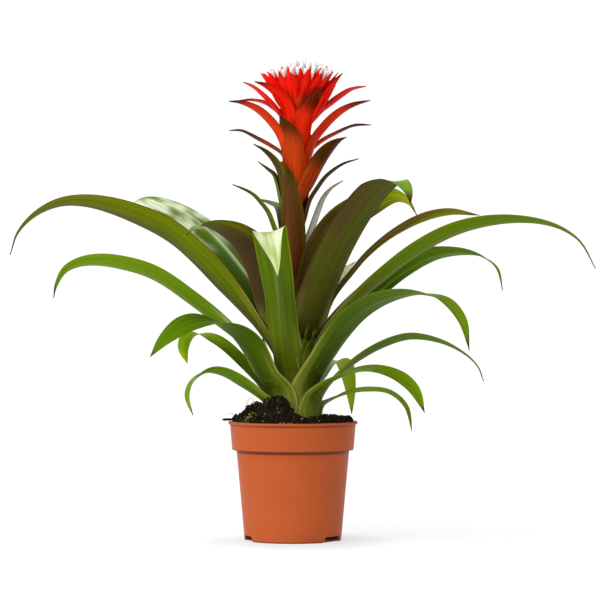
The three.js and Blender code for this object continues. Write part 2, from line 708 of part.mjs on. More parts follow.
function soilHeight(radius, azimuth) {
  const { rimLevel, crownLevel } = SOIL;
  const edge = POT_INSIDE[3][0];
  const rise = (edge - radius) / (edge - SOIL_HOLE);
  let height = rimLevel + (crownLevel - rimLevel) * ease(0, 1, rise);
  for (const mound of SOIL_MOUNDS) {
    const dx = radius * Math.cos(azimuth) - mound.radius * Math.cos(radians(mound.azimuth));
    const dy = radius * Math.sin(azimuth) - mound.radius * Math.sin(radians(mound.azimuth));
    height += mound.height * Math.exp(-(dx * dx + dy * dy) / (2 * mound.spread ** 2));
  }
  return height;
}

/** The potting mix: it fills the pot, with a rough heaped top and a hole for the plant. */
function soilSolid() {
  const random = seeded(SOIL.seed);
  const [foot, neck, bandFoot, bandTop] = POT_INSIDE;
  const filled = (SOIL.wallTop - bandFoot[1]) / (bandTop[1] - bandFoot[1]);
  const wall = [
    [foot[0], foot[1] + CLEARANCE],
    neck,
    bandFoot,
    [THREE.MathUtils.lerp(bandFoot[0], bandTop[0], filled), SOIL.wallTop],
  ];
  const rings = [
    ...wall.map(([radius, height]) => ({ radius: radius - CLEARANCE, level: () => height })),
    ...[...SOIL.ringRadii].reverse().map((radius) => ({
      radius,
      level: (azimuth) => soilHeight(radius, azimuth) + SOIL.roughness * (2 * random() - 1),
    })),
    { radius: SOIL_HOLE, level: () => SOIL.crownLevel },
    { radius: SOIL_HOLE, level: () => SOIL.holeFloor },
  ];
  return toSolid(ringGeometry(rings, POT.segments));
}

/** A closed solid from rings of points, from the middle of its base to the hole's floor. */
function ringGeometry(rings, segments) {
  const positions = [];
  for (const { radius, level } of rings) {
    for (let k = 0; k < segments; k += 1) {
      const azimuth = (2 * Math.PI * k) / segments;
      positions.push(radius * Math.cos(azimuth), radius * Math.sin(azimuth), level(azimuth));
    }
  }
  const bottomCentre = rings.length * segments;
  positions.push(0, 0, rings[0].level(0));
  positions.push(0, 0, rings[rings.length - 1].level(0));
  const faces = [];
  for (let k = 0; k < segments; k += 1) {
    const next = (k + 1) % segments;
    faces.push(bottomCentre, next, k);
    for (let i = 0; i + 1 < rings.length; i += 1) {
      const [a, b] = [i * segments, (i + 1) * segments];
      faces.push(a + k, a + next, b + next, a + k, b + next, b + k);
    }
    const top = (rings.length - 1) * segments;
    faces.push(bottomCentre + 1, top + k, top + next);
  }
  const geometry = new THREE.BufferGeometry();
  geometry.setAttribute('position', new THREE.Float32BufferAttribute(positions, 3));
  geometry.setIndex(faces);
  return geometry;
}

// ---------------------------------------------------------------- the plant in its pot

function material(colour, roughness) {
  return new THREE.MeshStandardMaterial({ color: colour, roughness, metalness: 0 });
}

function named(name, solid, finish) {
  const mesh = new THREE.Mesh(toGeometry(solid), finish);
  mesh.name = name;
  return mesh;
}

const plant = new THREE.Group();
plant.add(named('pot', potSolid(), material(COLOURS.pot, 0.55)));
plant.add(named('soil', soilSolid(), material(COLOURS.soil, 0.95)));
plant.add(named('stalk', stalkSolid(), material(COLOURS.stalk, 0.45)));
plant.add(named('flower_head', headSolid(), material(COLOURS.flowerHead, 0.4)));
plant.add(named('florets', floretsSolid(), material(COLOURS.florets, 0.6)));
leafSolids().forEach((solid, i) => {
  const { name } = LEAVES[i];
  const colour = DARK_LEAVES.includes(name) ? COLOURS.darkLeaf : COLOURS.leaf;
  plant.add(named(name, solid, material(colour, 0.4)));
});

export default plant;
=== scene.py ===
"""Looks for the potted bromeliad, in metres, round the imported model.

Lengths in the tables are in millimetres and angles in degrees, as on a drawing. Azimuths run
from +X towards +Y, so the front of the plant, which the camera sees, is at 270.
"""

import json
import math
import random
from collections import namedtuple
from functools import reduce

import bmesh
import bpy
import numpy as np
from mathutils import Euler, Matrix, Vector


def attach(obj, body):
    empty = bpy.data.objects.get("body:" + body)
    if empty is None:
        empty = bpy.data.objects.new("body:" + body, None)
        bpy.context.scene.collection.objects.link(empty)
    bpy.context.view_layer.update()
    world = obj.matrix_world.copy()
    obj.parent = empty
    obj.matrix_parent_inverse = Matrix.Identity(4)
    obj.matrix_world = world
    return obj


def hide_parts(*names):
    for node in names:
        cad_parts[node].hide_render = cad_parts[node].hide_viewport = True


MM = 0.001

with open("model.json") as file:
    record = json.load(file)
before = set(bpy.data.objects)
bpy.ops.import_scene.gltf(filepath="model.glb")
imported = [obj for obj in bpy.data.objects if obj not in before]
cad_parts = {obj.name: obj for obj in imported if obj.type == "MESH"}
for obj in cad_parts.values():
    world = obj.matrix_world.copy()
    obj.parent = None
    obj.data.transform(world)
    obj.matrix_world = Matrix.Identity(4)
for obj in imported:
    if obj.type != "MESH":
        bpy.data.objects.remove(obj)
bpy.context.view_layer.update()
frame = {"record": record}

# ---------------------------------------------------------------- camera, light and floor

CAMERA_PLACE = (6.6, -2700, 223)
FRAME_WIDTH = 557.4  # what the picture spans at the pot's axis
SENSOR = 36
CLIP_END = 100  # metres

# How bright the room is on the plant, in its reflections, and as the camera sees it.
ROOM_LIGHT = 0.3
ROOM_GLOSS = 0.14
BACKDROP = 1.05

# The floor: how far it reaches in metres, its glow and its white, and the soft shade round
# the pot's foot: its middle, where it starts and ends, how deep.
FLOOR_REACH = 60
FLOOR_GLOW = 0.76
FLOOR_WHITE = 0.26
FLOOR_SHADE = {"middle": (6, -14, 0), "from": 45, "to": 115, "depth": 0.19}

# Lamps: where each shines from, how strong, how wide in degrees, and its colour.
LAMPS = {
    "key": ((-0.58, -0.6, 0.68), 3.1, 80, (1, 0.985, 0.96)),
    "fill": ((0.75, 0.35, 0.75), 0.3, 60, (0.96, 0.98, 1)),
    "back": ((-0.25, 0.9, 0.4), 0.8, 40, (1, 1, 1)),
}


def add_object(name, data):
    made = bpy.data.objects.new(name, data)
    bpy.context.collection.objects.link(made)
    return made


def make_camera():
    data = bpy.data.cameras.new("camera")
    data.sensor_width = SENSOR
    data.lens = SENSOR * -CAMERA_PLACE[1] / FRAME_WIDTH
    data.clip_end = CLIP_END
    camera = add_object("camera", data)
    camera.location = Vector(CAMERA_PLACE) * MM
    camera.rotation_euler = (math.pi / 2, 0, 0)
    bpy.context.scene.camera = camera


def make_sun(name, towards, strength, softness, colour):
    data = bpy.data.lights.new(name, "SUN")
    data.energy = strength
    data.angle = math.radians(softness)
    data.color = colour
    add_object(name, data).rotation_euler = Vector(towards).to_track_quat("Z", "Y").to_euler()


def make_studio():
    for name, lamp in LAMPS.items():
        make_sun(name, *lamp)
    world = bpy.data.worlds.new("studio")
    bpy.context.scene.world = world
    bpy.context.scene.view_settings.view_transform = "Standard"
    room = Nodes(world)
    rays = room.node("ShaderNodeLightPath").outputs
    lit = room.linear(rays["Is Glossy Ray"], 0, 1, ROOM_LIGHT, ROOM_GLOSS)
    background = room.tree.nodes["Background"].inputs
    room.put(background["Color"], (1, 1, 1, 1))
    room.put(background["Strength"],
             room.linear(rays["Is Camera Ray"], 0, 1, lit, BACKDROP))


def make_floor():
    mesh = bpy.data.meshes.new("floor")
    corners = [(-1, -1), (1, -1), (1, 1), (-1, 1)]
    mesh.from_pydata([(x * FLOOR_REACH, y * FLOOR_REACH, 0) for x, y in corners],
                     [], [(0, 1, 2, 3)])
    f = Finish("floor", Emission_Strength=FLOOR_GLOW, Specular_IOR_Level=0.1)
    away = f.node("ShaderNodeVectorMath",
                  {0: f.place(), 1: Vector(FLOOR_SHADE["middle"]) * MM}, operation="DISTANCE")
    f.put(f.shader.inputs["Emission Color"],
          f.scaled(away.outputs["Value"], FLOOR_SHADE["from"] * MM, FLOOR_SHADE["to"] * MM,
                   1 - FLOOR_SHADE["depth"]))
    mesh.materials.append(f.finish((FLOOR_WHITE, FLOOR_WHITE, FLOOR_WHITE, 1), 0.9))
    add_object("floor", mesh)


# ---------------------------------------------------------------- colours


def shader_colour(code):
    """The linear values that shaders take, for a screen colour written as #rrggbb."""
    shares = [int(code[k:k + 2], 16) / 255 for k in (1, 3, 5)]
    return (*(s / 12.92 if s <= 0.04045 else ((s + 0.055) / 1.055) ** 2.4 for s in shares), 1)


CREAM = "#cec88e"
CREAM_GREEN = "#7c8634"
GREEN = "#5c7806"
DEEP_GREEN = "#304c02"
BRIGHT_GREEN = "#789608"
OLIVE = "#626408"
DARK_OLIVE = "#48480e"
MAROON = "#482e18"
RED_BROWN = "#804e1a"
TIP_BROWN = "#422414"
PALE_MARGIN = "#a0a83a"
# The pale colour of the painted highlight patches on the inside of some leaves.
PAINTED_HIGHLIGHT = "#dee6c8"
DRY_HUSK = "#928842"

# A bract's colours by how ripe it is, 0 white, 0.12 green, 0.33 maroon and 1 red: at its
# foot, over its body, at its end and on its margins.
BRACT_FOOT = [(0.0, "#f0f6e2"), (0.12, "#586c1a"), (0.33, "#70281a"),
              (0.64, "#e24a12"), (1.0, "#fc3a18")]
BRACT_BODY = [(0.0, "#fdfff6"), (0.12, "#466008"), (0.33, "#583614"),
              (0.62, "#d03c06"), (0.8, "#ec2a06"), (1.0, "#ff1008")]
BRACT_END = [(0.0, "#60701e"), (0.12, "#344206"), (0.33, "#40380a"),
             (0.64, "#4e2406"), (1.0, "#4c0c06")]
BRACT_MARGIN = [(0.0, "#96b064"), (0.12, "#7a9608"),
                (0.36, "#605c0c"), (0.6, "#b43c0c"), (1.0, "#ce0e0a")]
CRIMSON = "#cc040e"
ORANGE_RED = "#ff6028"

# A floret from its foot to the white ends of its petals, and the flush on it.
FLORET_COLOURS = [(0.0, "#e21e12"), (0.3, "#ec4630"), (0.5, "#fcded0"),
                  (0.62, "#fffcf8"), (1.0, "#fffffc")]
FLORET_FLUSH = "#facebe"

TERRACOTTA = "#b15226"
PALE_TERRACOTTA = "#b65629"
UNDER_LIP_DARK = "#5c2e1a"
BAND_SHADE = "#682c14"
FOOT_DARKENING = "#78422a"
SOLE_LINE = "#542412"

# The mix as a whole, its single crumbs, and the bits in it that are not peat.
MIX_COLOURS = [(0.3, "#0c0908"), (0.5, "#1c1510"), (0.66, "#36281c"),
               (0.8, "#58422c")]
CRUMB_COLOURS = [(0.0, "#100c0a"), (0.6, "#1e1610"), (0.86, "#463423"),
                 (1.0, "#80623e")]
ROOT, CHIP, SPROUT, MOSS = 0.0, 0.33, 0.66, 1.0
BIT_COLOURS = [(ROOT, "#281e16"), (CHIP, "#b49c76"),
               (SPROUT, "#7a8e1e"), (MOSS, "#4c541a")]
MOSS_FILM = "#465016"
PALE_GRAIN = "#846a46"


# ---------------------------------------------------------------- materials


class Nodes:
    """A node tree that grows by short calls. Sockets, numbers and colours mix freely."""

    def __init__(self, owner):
        owner.use_nodes = True
        self.tree = owner.node_tree

    def node(self, kind, inputs=(), **settings):
        made = self.tree.nodes.new(kind)
        for key, value in settings.items():
            setattr(made, key, value)
        for key, value in dict(inputs).items():
            self.put(made.inputs[key], value)
        return made

    def put(self, socket, value):
        if isinstance(value, bpy.types.NodeSocket):
            self.tree.links.new(value, socket)
        else:
            socket.default_value = shader_colour(value) if isinstance(value, str) else value

    def math(self, operation, *values):
        return self.node("ShaderNodeMath", enumerate(values), operation=operation).outputs[0]

    def plus(self, *terms):
        return reduce(lambda first, second: self.math("ADD", first, second), terms)

    def times(self, *factors):
        return reduce(lambda first, second: self.math("MULTIPLY", first, second), factors)

    def scaled(self, value, low, high, to_low=0.0, to_high=1.0, curve="SMOOTHSTEP"):
        """value's place between low and high, eased, then stretched to the other range."""
        return self.node(
            "ShaderNodeMapRange",
            {"Value": value, "From Min": low, "From Max": high,
             "To Min": to_low, "To Max": to_high}, interpolation_type=curve).outputs["Result"]

    def linear(self, value, low, high, to_low, to_high):
        """The same without the easing."""
        return self.scaled(value, low, high, to_low, to_high, "LINEAR")

    def grain(self, *parts):
        """The sum of (noise, low, high, to_low, to_high) parts, each stretched evenly."""
        return self.plus(*(self.linear(*part) for part in parts))

    def band(self, value, start, full, fade, end):
        """1 from full to fade, and 0 up to start and past end."""
        return self.times(self.scaled(value, start, full), self.scaled(value, end, fade))

    def mix(self, share, first, second, blend="MIX"):
        made = self.node("ShaderNodeMix", data_type="RGBA", blend_type=blend)
        self.put(made.inputs[0], share)
        self.put(made.inputs[6], first)
        self.put(made.inputs[7], second)
        return made.outputs[2]

    def shaded(self, colour, shade):
        return self.mix(1.0, colour, self.vector(shade, shade, shade), "MULTIPLY")

    def ramp(self, value, stops):
        made = self.node("ShaderNodeValToRGB", {"Fac": value})
        elements = made.color_ramp.elements
        while len(elements) < len(stops):
            elements.new(0.5)
        for element, (place, colour) in zip(elements, stops):
            element.position = place
            element.color = shader_colour(colour)
        return made.outputs["Color"]

    def attribute(self, name):
        """The three numbers of a mesh attribute."""
        found = self.node("ShaderNodeAttribute", attribute_name=name).outputs["Vector"]
        return tuple(self.node("ShaderNodeSeparateXYZ", {0: found}).outputs)

    def vector(self, x, y, z):
        return self.node("ShaderNodeCombineXYZ", {0: x, 1: y, 2: z}).outputs[0]

    def place(self):
        return self.node("ShaderNodeTexCoord").outputs["Object"]

    def noise(self, vector, scale=1.0, detail=3.0, roughness=0.55):
        return self.node("ShaderNodeTexNoise", {
            "Vector": vector, "Scale": scale, "Detail": detail,
            "Roughness": roughness}).outputs[0]

    def streaks(self, blade, scales, seed, detail=2.0, roughness=0.55):
        """Noise over a blade that is scaled on its own across it and along it."""
        place = [self.times(value, scale) for value, scale in zip(blade, scales)]
        return self.noise(self.vector(*place, seed), 1, detail, roughness)


class Finish(Nodes):
    """A material. Its shader's constants are given by name when it is made."""

    def __init__(self, name, **settings):
        self.material = bpy.data.materials.new(name)
        super().__init__(self.material)
        self.shader = self.tree.nodes["Principled BSDF"]
        for key, value in settings.items():
            self.shader.inputs[key.replace("_", " ")].default_value = value

    def bump(self, height, strength, distance):
        made = self.node("ShaderNodeBump", {
            "Height": height, "Strength": strength, "Distance": distance})
        self.put(self.shader.inputs["Normal"], made.outputs[0])

    def finish(self, colour, roughness):
        self.put(self.shader.inputs["Base Color"], colour)
        self.put(self.shader.inputs["Roughness"], roughness)
        return self.material


def leaf_finish(name, look, seed):
    """A strap leaf: glossy green inside, often flushed maroon outside, with fine veins."""
    f = Finish(name, IOR=1.45, Specular_IOR_Level=look["shine"])
    across, along, face = f.attribute("blade")
    away = f.math("ABSOLUTE", across)
    broad = f.streaks((across, along), (1.7, 3.2), seed)
    streak = f.streaks((across, along), (7, 1.6), seed + 7.3, 4, 0.6)
    vein = f.streaks((across, along), (42, 2.2), seed + 3.1, 2, 0.5)
    speckle = f.noise(f.place(), 900, 3)

    inner, outer = (
        f.ramp(along, list(zip((0.0, root, 0.45, 0.9), (CREAM_GREEN, *look[side]))))
        for side, root in (("inner", 0.14), ("outer", 0.12)))
    # The flush on the outside runs in lengthwise bands and keeps off the leaf's foot.
    amount, lean, start, tint = look["flush"]
    level = f.plus(f.times(broad, 0.6), f.times(streak, 0.4), f.times(across, 0.28 * lean),
                   amount - 0.5)
    flush = f.times(f.scaled(level, 0.38, 0.66), f.scaled(along, start, start + 0.14),
                    f.scaled(along, 0.98, 0.6, 0.35, 1))
    outer = f.mix(flush, outer, tint)
    colour = f.mix(f.scaled(face, -0.4, 0.4), outer, inner)

    # Sheaths are paler towards their margins, and every leaf has a fine edge of its own.
    pale = f.times(f.scaled(away, 0.35, 1.0), f.scaled(along, 0.38, 0.18, 0, 0.6),
                   f.scaled(streak, 0.35, 0.6, 0.45, 1))
    colour = f.mix(pale, colour, PALE_MARGIN)
    tint, amount = look["edge"]
    edge = f.times(f.scaled(f.plus(away, f.scaled(along, 0.3, 0.1, 0, -0.07)), 0.87, 0.985),
                   f.scaled(along, 0.14, 0.32, 0.85, amount))
    colour = f.mix(edge, colour, f.ramp(along, [(0.16, CREAM), (0.3, tint)]))
    tip = look["tip_from"]
    colour = f.mix(f.scaled(f.plus(along, f.times(streak, 0.04)), tip + 0.02, tip + 0.07),
                   colour, TIP_BROWN)
    # A streaky band runs along the leaf, to one side of its middle: on some leaves a band of
    # their own colour, on others a painted sheen.
    amount, middle, wide, start, end, tint = look["stripe_and_sheen"]
    aside = f.math("SUBTRACT", across, middle)
    stripe_and_sheen = f.times(f.band(aside, 0, wide, wide, 3 * wide), f.scaled(streak, 0.36, 0.6, 0.15, 1),
                    f.scaled(along, start, start + 0.25, 0, amount),
                    f.scaled(along, end, end - 0.2))
    colour = f.mix(stripe_and_sheen, colour, tint)
    # Painted highlights: soft pale patches where the inside of the leaf arches into the light.
    cloud = f.streaks((across, along), (1.3, 9), seed + 1.9, 1, 0.4)
    highlight_patch = f.times(f.scaled(cloud, 0.36, 0.66), f.scaled(along, 0.5, 0.66),
                    f.scaled(face, 0, 0.5, 0, look["highlight_patch"]))
    colour = f.mix(highlight_patch, colour, PAINTED_HIGHLIGHT)
    # Dried scraps of husk cling to the sheath.
    amount, end = look["husk"]
    least = 0.6 - 0.12 * amount
    dried = f.times(f.scaled(f.noise(f.place(), 150, 4, 0.65), least, least + 0.14),
                    f.scaled(along, end, end - 0.18, 0, amount))
    colour = f.mix(dried, colour, DRY_HUSK)

    shade = f.grain((vein, 0.25, 0.75, 0.82, 1.28), (streak, 0.25, 0.75, -0.27, 0.27),
                    (speckle, 0.3, 0.7, -0.04, 0.04))
    # Painted shade: some leaves darken towards their foot, deep in the crown.
    shade = f.times(shade, f.scaled(along, 0.14, 0.5, look["root_dark"], 1))
    roughness = f.grain((vein, 0.2, 0.8, -0.04, 0.05), (face, -1, 1, *look["gloss"]))
    f.bump(f.plus(vein, f.times(speckle, 0.05)), 0.2, 0.0004)
    return f.finish(f.shaded(colour, shade), roughness)


def bract_finish(name, gloss):
    """Bracts: "tone" holds how ripe one is, where its tip darkens, and its own seed."""
    f = Finish(name, IOR=1.45, Specular_IOR_Level=0.06)
    across, along, face = f.attribute("blade")
    ripe, tip_from, seed = f.attribute("tone")
    away = f.math("ABSOLUTE", across)
    streak = f.streaks((across, along), (5, 1.3), seed, 4, 0.6)
    vein = f.streaks((across, along), (22, 2), seed)
    speckle = f.noise(f.place(), 1100, 3)
    own = f.plus(ripe, f.linear(streak, 0.2, 0.8, -0.05, 0.05))
    colour = f.mix(f.scaled(along, 0.08, 0.5), f.ramp(own, BRACT_FOOT), f.ramp(own, BRACT_BODY))
    colour = f.mix(f.scaled(away, 0.55, 1, 0, 0.75), colour, f.ramp(own, BRACT_MARGIN))
    reach = f.plus(f.math("SUBTRACT", along, tip_from),
                   f.linear(streak, 0.2, 0.8, -0.09, 0.09), f.times(away, 0.05))
    colour = f.mix(f.scaled(reach, -0.06, 0.16, 0, 0.94), colour, f.ramp(own, BRACT_END))
    # Red bracts are crimson where the streaks are dark, and orange-red where light.
    crimson = f.times(f.scaled(streak, 0.52, 0.3), f.scaled(ripe, 0.7, 0.95, 0, 0.8))
    colour = f.mix(crimson, colour, CRIMSON)
    glow = f.times(f.scaled(streak, 0.55, 0.75), f.scaled(ripe, 0.5, 0.9, 0, 0.45))
    colour = f.mix(glow, colour, ORANGE_RED)
    shade = f.grain((vein, 0.25, 0.75, 0.79, 1.21), (streak, 0.25, 0.75, -0.2, 0.2),
                    (speckle, 0.3, 0.7, -0.06, 0.07))
    roughness = f.grain((vein, 0.2, 0.8, gloss - 0.05, gloss + 0.06), (face, -1, 1, 0.03, -0.03))
    f.bump(f.plus(vein, f.times(speckle, 0.15)), 0.4, 0.0004)
    return f.finish(f.shaded(colour, shade), roughness)


# ---------------------------------------------------------------- mesh making


def ease(low, high, value):
    share = np.clip((value - low) / (high - low), 0, 1)
    return share * share * (3 - 2 * share)


def along_path(points, shares):
    """Points of a smooth curve through [distance, height] points."""
    points = np.array(points, float)
    runs = np.concatenate([[0], np.cumsum(np.linalg.norm(np.diff(points, axis=0), axis=1))])
    at = runs / runs[-1]
    last = len(points) - 1
    index = np.arange(len(points))
    before, after = np.maximum(index - 1, 0), np.minimum(index + 1, last)
    slope = (points[after] - points[before]) / (at[after] - at[before])[:, None]
    i = np.clip(np.searchsorted(at, shares, side="right") - 1, 0, last - 1)
    span = (at[i + 1] - at[i])[:, None]
    u = (shares - at[i])[:, None] / span
    return ((2 * u**3 - 3 * u**2 + 1) * points[i] + (u**3 - 2 * u**2 + u) * span * slope[i]
            + (3 * u**2 - 2 * u**3) * points[i + 1] + (u**3 - u**2) * span * slope[i + 1])


class Sheet:
    """Vertices, faces and named vertex numbers that are gathered into one mesh."""

    def __init__(self):
        self.points, self.faces, self.values, self.count = [], [], {}, 0

    def add(self, points, faces, **values):
        points = np.asarray(points, float)
        self.points.append(points)
        self.faces += [tuple(self.count + k for k in face) for face in faces]
        for name, value in values.items():
            value = np.broadcast_to(np.asarray(value, float), (len(points), 3))
            self.values.setdefault(name, []).append(value)
        self.count += len(points)

    def build(self, name, material):
        mesh = bpy.data.meshes.new(name)
        mesh.from_pydata((np.concatenate(self.points) * MM).tolist(), [], self.faces)
        for key, value in self.values.items():
            made = mesh.attributes.new(key, "FLOAT_VECTOR", "POINT")
            made.data.foreach_set("vector", np.concatenate(value).astype(np.float32).ravel())
        mesh.shade_smooth()
        mesh.materials.append(material)
        mesh.validate()
        return add_object(name, mesh)


def grid_faces(rows, columns, offset=0, flip=False, closed=False):
    faces = []
    for i in range(rows - 1):
        for j in range(columns if closed else columns - 1):
            k = (j + 1) % columns
            a, b = offset + i * columns + j, offset + i * columns + k
            face = (a, b, b + columns, a + columns)
            faces.append(face[::-1] if flip else face)
    return faces


LEAN = (230, 440, 7.5, 1.6)  # from height, to height, how far to the right, power

# A blade's thickness at its foot and past it, what the margins lose of it, how points crowd
# towards them, and the least half width.
BLADE = {"foot_thick": 1.05, "thick": 0.62, "loss": 0.72, "crowding": 0.86, "tip": 0.16}

# A blade's shape unless its own line says otherwise. Starts and ends are shares of its length,
# and it opens from a tube that reaches "span" degrees each way.
PLAIN_BLADE = {
    "turn_start": 0.12, "turn_end": 0.75, "twist_start": 0.5, "twist_end": 1,
    "open_start": 0.02, "open_end": 0.22, "span": 60, "tip_cup": 14, "roll": 0, "twist": 0,
    "taper": 0.45, "taper_power": 2.4, "wave": 0, "waves": 9, "crease": 0, "seed": 0,
}


def lean_at(height):
    start, end, offset, power = LEAN
    return offset * np.clip((height - start) / (end - start), 0, 2) ** power


def add_blade(sheet, spec, stations, across, leaning=False, **values):
    """A thin closed blade along a curve. It starts as part of a tube and opens out flat."""
    own = {**PLAIN_BLADE, **spec}
    t = np.linspace(0, 1, stations)
    t = t + 0.06 * np.sin(2 * np.pi * t) / (2 * np.pi)
    path = along_path(own["points"], t)
    t = t[:, None]
    base, tip = np.broadcast_to(own["azimuth"], 2)
    azimuth = np.radians(base + (tip - base) * ease(own["turn_start"], own["turn_end"], t))
    twisted = ease(own["twist_start"], own["twist_end"], t)
    opened = ease(own["open_start"], own["open_end"], t)
    root_cup, cup, tip_cup = np.radians([own["span"], own["cup"], own["tip_cup"]])
    narrowing = np.clip((t - own["taper"]) / (1 - own["taper"]), 0, 1) ** own["taper_power"]
    root = own["root_radius"] * root_cup
    half = root + (own["width"] / 2 * (1 - narrowing) - root) * opened
    half = np.maximum(half, BLADE["tip"])
    bent = root_cup + (cup - root_cup) * opened + (tip_cup - cup) * twisted
    roll = np.radians(own["roll"] * ease(0.05, 0.38, t) + own["twist"] * twisted)
    thick = BLADE["foot_thick"] + (BLADE["thick"] - BLADE["foot_thick"]) * ease(0.1, 0.8, t)

    # Along the middle line: its place, its direction, the blade's breadth and its face.
    centre = np.hstack([path[:, :1] * np.cos(azimuth), path[:, :1] * np.sin(azimuth),
                        path[:, 1:]])
    tangent = np.gradient(centre, axis=0)
    tangent /= np.linalg.norm(tangent, axis=1)[:, None]
    side = np.hstack([-np.sin(azimuth), np.cos(azimuth), np.zeros_like(t)])
    side -= tangent * (side * tangent).sum(1)[:, None]
    side /= np.linalg.norm(side, axis=1)[:, None]
    up = np.cross(tangent, side)
    side, up = side * np.cos(roll) + up * np.sin(roll), up * np.cos(roll) - side * np.sin(roll)

    # Across it: an arc, thinner towards the margins, with a crease and a waving margin.
    limit = np.pi / 2 * BLADE["crowding"]
    u = np.sin(np.linspace(-1, 1, across) * limit) / np.sin(limit)
    radius = half / bent
    angle = bent * u
    wave = own["wave"] * np.sin(t * own["waves"] + own["seed"]) * np.sin(u * 2.1 + own["seed"])
    wave = wave * u**2 * ease(0.25, 0.5, t) * (1 - ease(0.9, 1, t))
    crease = own["crease"] * np.exp(-(u / 0.16) ** 2) * ease(0.2, 0.4, t)
    points, blade = [], []
    for face in (1.0, -1.0):
        bow = radius - face / 2 * thick * (1 - BLADE["loss"] * np.abs(u) ** 3)
        sideways = bow * np.sin(angle)
        upwards = radius - bow * np.cos(angle) + wave - crease
        skin = (centre[:, None] + side[:, None] * sideways[:, :, None]
                + up[:, None] * upwards[:, :, None])
        points.append(skin.reshape(-1, 3))
        blade.append(np.stack(np.broadcast_arrays(u, t, face), 2).reshape(-1, 3))
    points = np.concatenate(points)
    if leaning:
        points[:, 0] += lean_at(points[:, 2])

    size = stations * across
    faces = grid_faces(stations, across, flip=True) + grid_faces(stations, across, size)
    for i in range(stations - 1):
        a, b = i * across, (i + 1) * across
        c, d = a + across - 1, b + across - 1
        faces += [(a, b, b + size, a + size), (c, c + size, d + size, d)]
    for j in range(across - 1):
        a = (stations - 1) * across + j
        faces += [(j, j + size, j + 1 + size, j + 1), (a, a + 1, a + 1 + size, a + size)]
    sheet.add(points, faces, blade=np.concatenate(blade), **values)


def ring(radius, height, sides):
    """The points of a circle round the axis, at one height or at a height each."""
    angles = 2 * np.pi * np.arange(sides) / sides
    return np.stack(np.broadcast_arrays(radius * np.cos(angles), radius * np.sin(angles),
                                        height), 1)


def add_rings(sheet, bottom, rings, top, leaning=False, **values):
    """A skin over rings of points, closed at both ends by a single point on the axis."""
    sides = len(rings[0])
    points = np.concatenate([[[0, 0, bottom]], *rings, [[0, 0, top]]])
    if leaning:
        points[:, 0] += lean_at(points[:, 2])
    faces = grid_faces(len(rings), sides, 1, closed=True)
    last = len(points) - 1
    for j in range(sides):
        k = (j + 1) % sides
        faces += [(0, 1 + k, 1 + j), (last, last - sides + j, last - sides + k)]
    sheet.add(points, faces, **values)


def add_lathe(sheet, profile, sides, **values):
    """A turned shape from [radius, height] points, of which the first and last close it."""
    rings = [ring(radius, height, sides) for radius, height in profile[1:-1]]
    add_rings(sheet, profile[0][1], rings, profile[-1][1], **values)


def bend(start, middle, end, share):
    """A place on the curve that leaves start towards middle and comes to end."""
    return start * (1 - share) ** 2 + middle * 2 * share * (1 - share) + end * share * share


def hold(piece, slot, *nodes):
    """The piece rides on the plant and stands for its nodes. Its slot is not used."""
    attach(piece, "root")
    if nodes:
        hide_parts(*nodes)


# ---------------------------------------------------------------- leaves

# Sheaths round the stem: radius of the innermost one, what each adds to those inside it, the
# play between neighbours in degrees, where the innermost and outermost start, the shortest.
STEM = {"first": 10.6, "pitch": 1.4, "step": 20, "top": 150, "foot": 109, "shortest": 6}

LEAF_STATIONS, LEAF_ACROSS = 84, 17

Leaf = namedtuple("Leaf", "azimuth top width roll twist cup path shape look")

# How a leaf looks unless its own line says otherwise. Each side: colours at root, middle and
# tip. Flush: how much, towards which margin, from where, colour. Stripe and sheen, a band of
# its own colour on some leaves and a painted sheen on others: how much, where across, how wide,
# from, to, colour. Edge: colour, how much. Husk: how much, up to where. Gloss: how rough outside
# and inside. Then painted highlight patches, painted shade at the root, start of the brown tip,
# and shine.
PLAIN_LEAF = {
    "outer": (OLIVE, GREEN, GREEN), "inner": (GREEN, GREEN, "#6a8808"),
    "flush": (0.12, 0, 0.1, MAROON), "stripe_and_sheen": (0.0, 0.1, 0.2, 0.2, 1.2, "#b0be96"),
    "edge": (BRIGHT_GREEN, 0.5), "husk": (0.5, 0.26), "gloss": (0.48, 0.42),
    "highlight_patch": 0.0, "root_dark": 1.0, "tip_from": 0.94, "shine": 0.03,
}

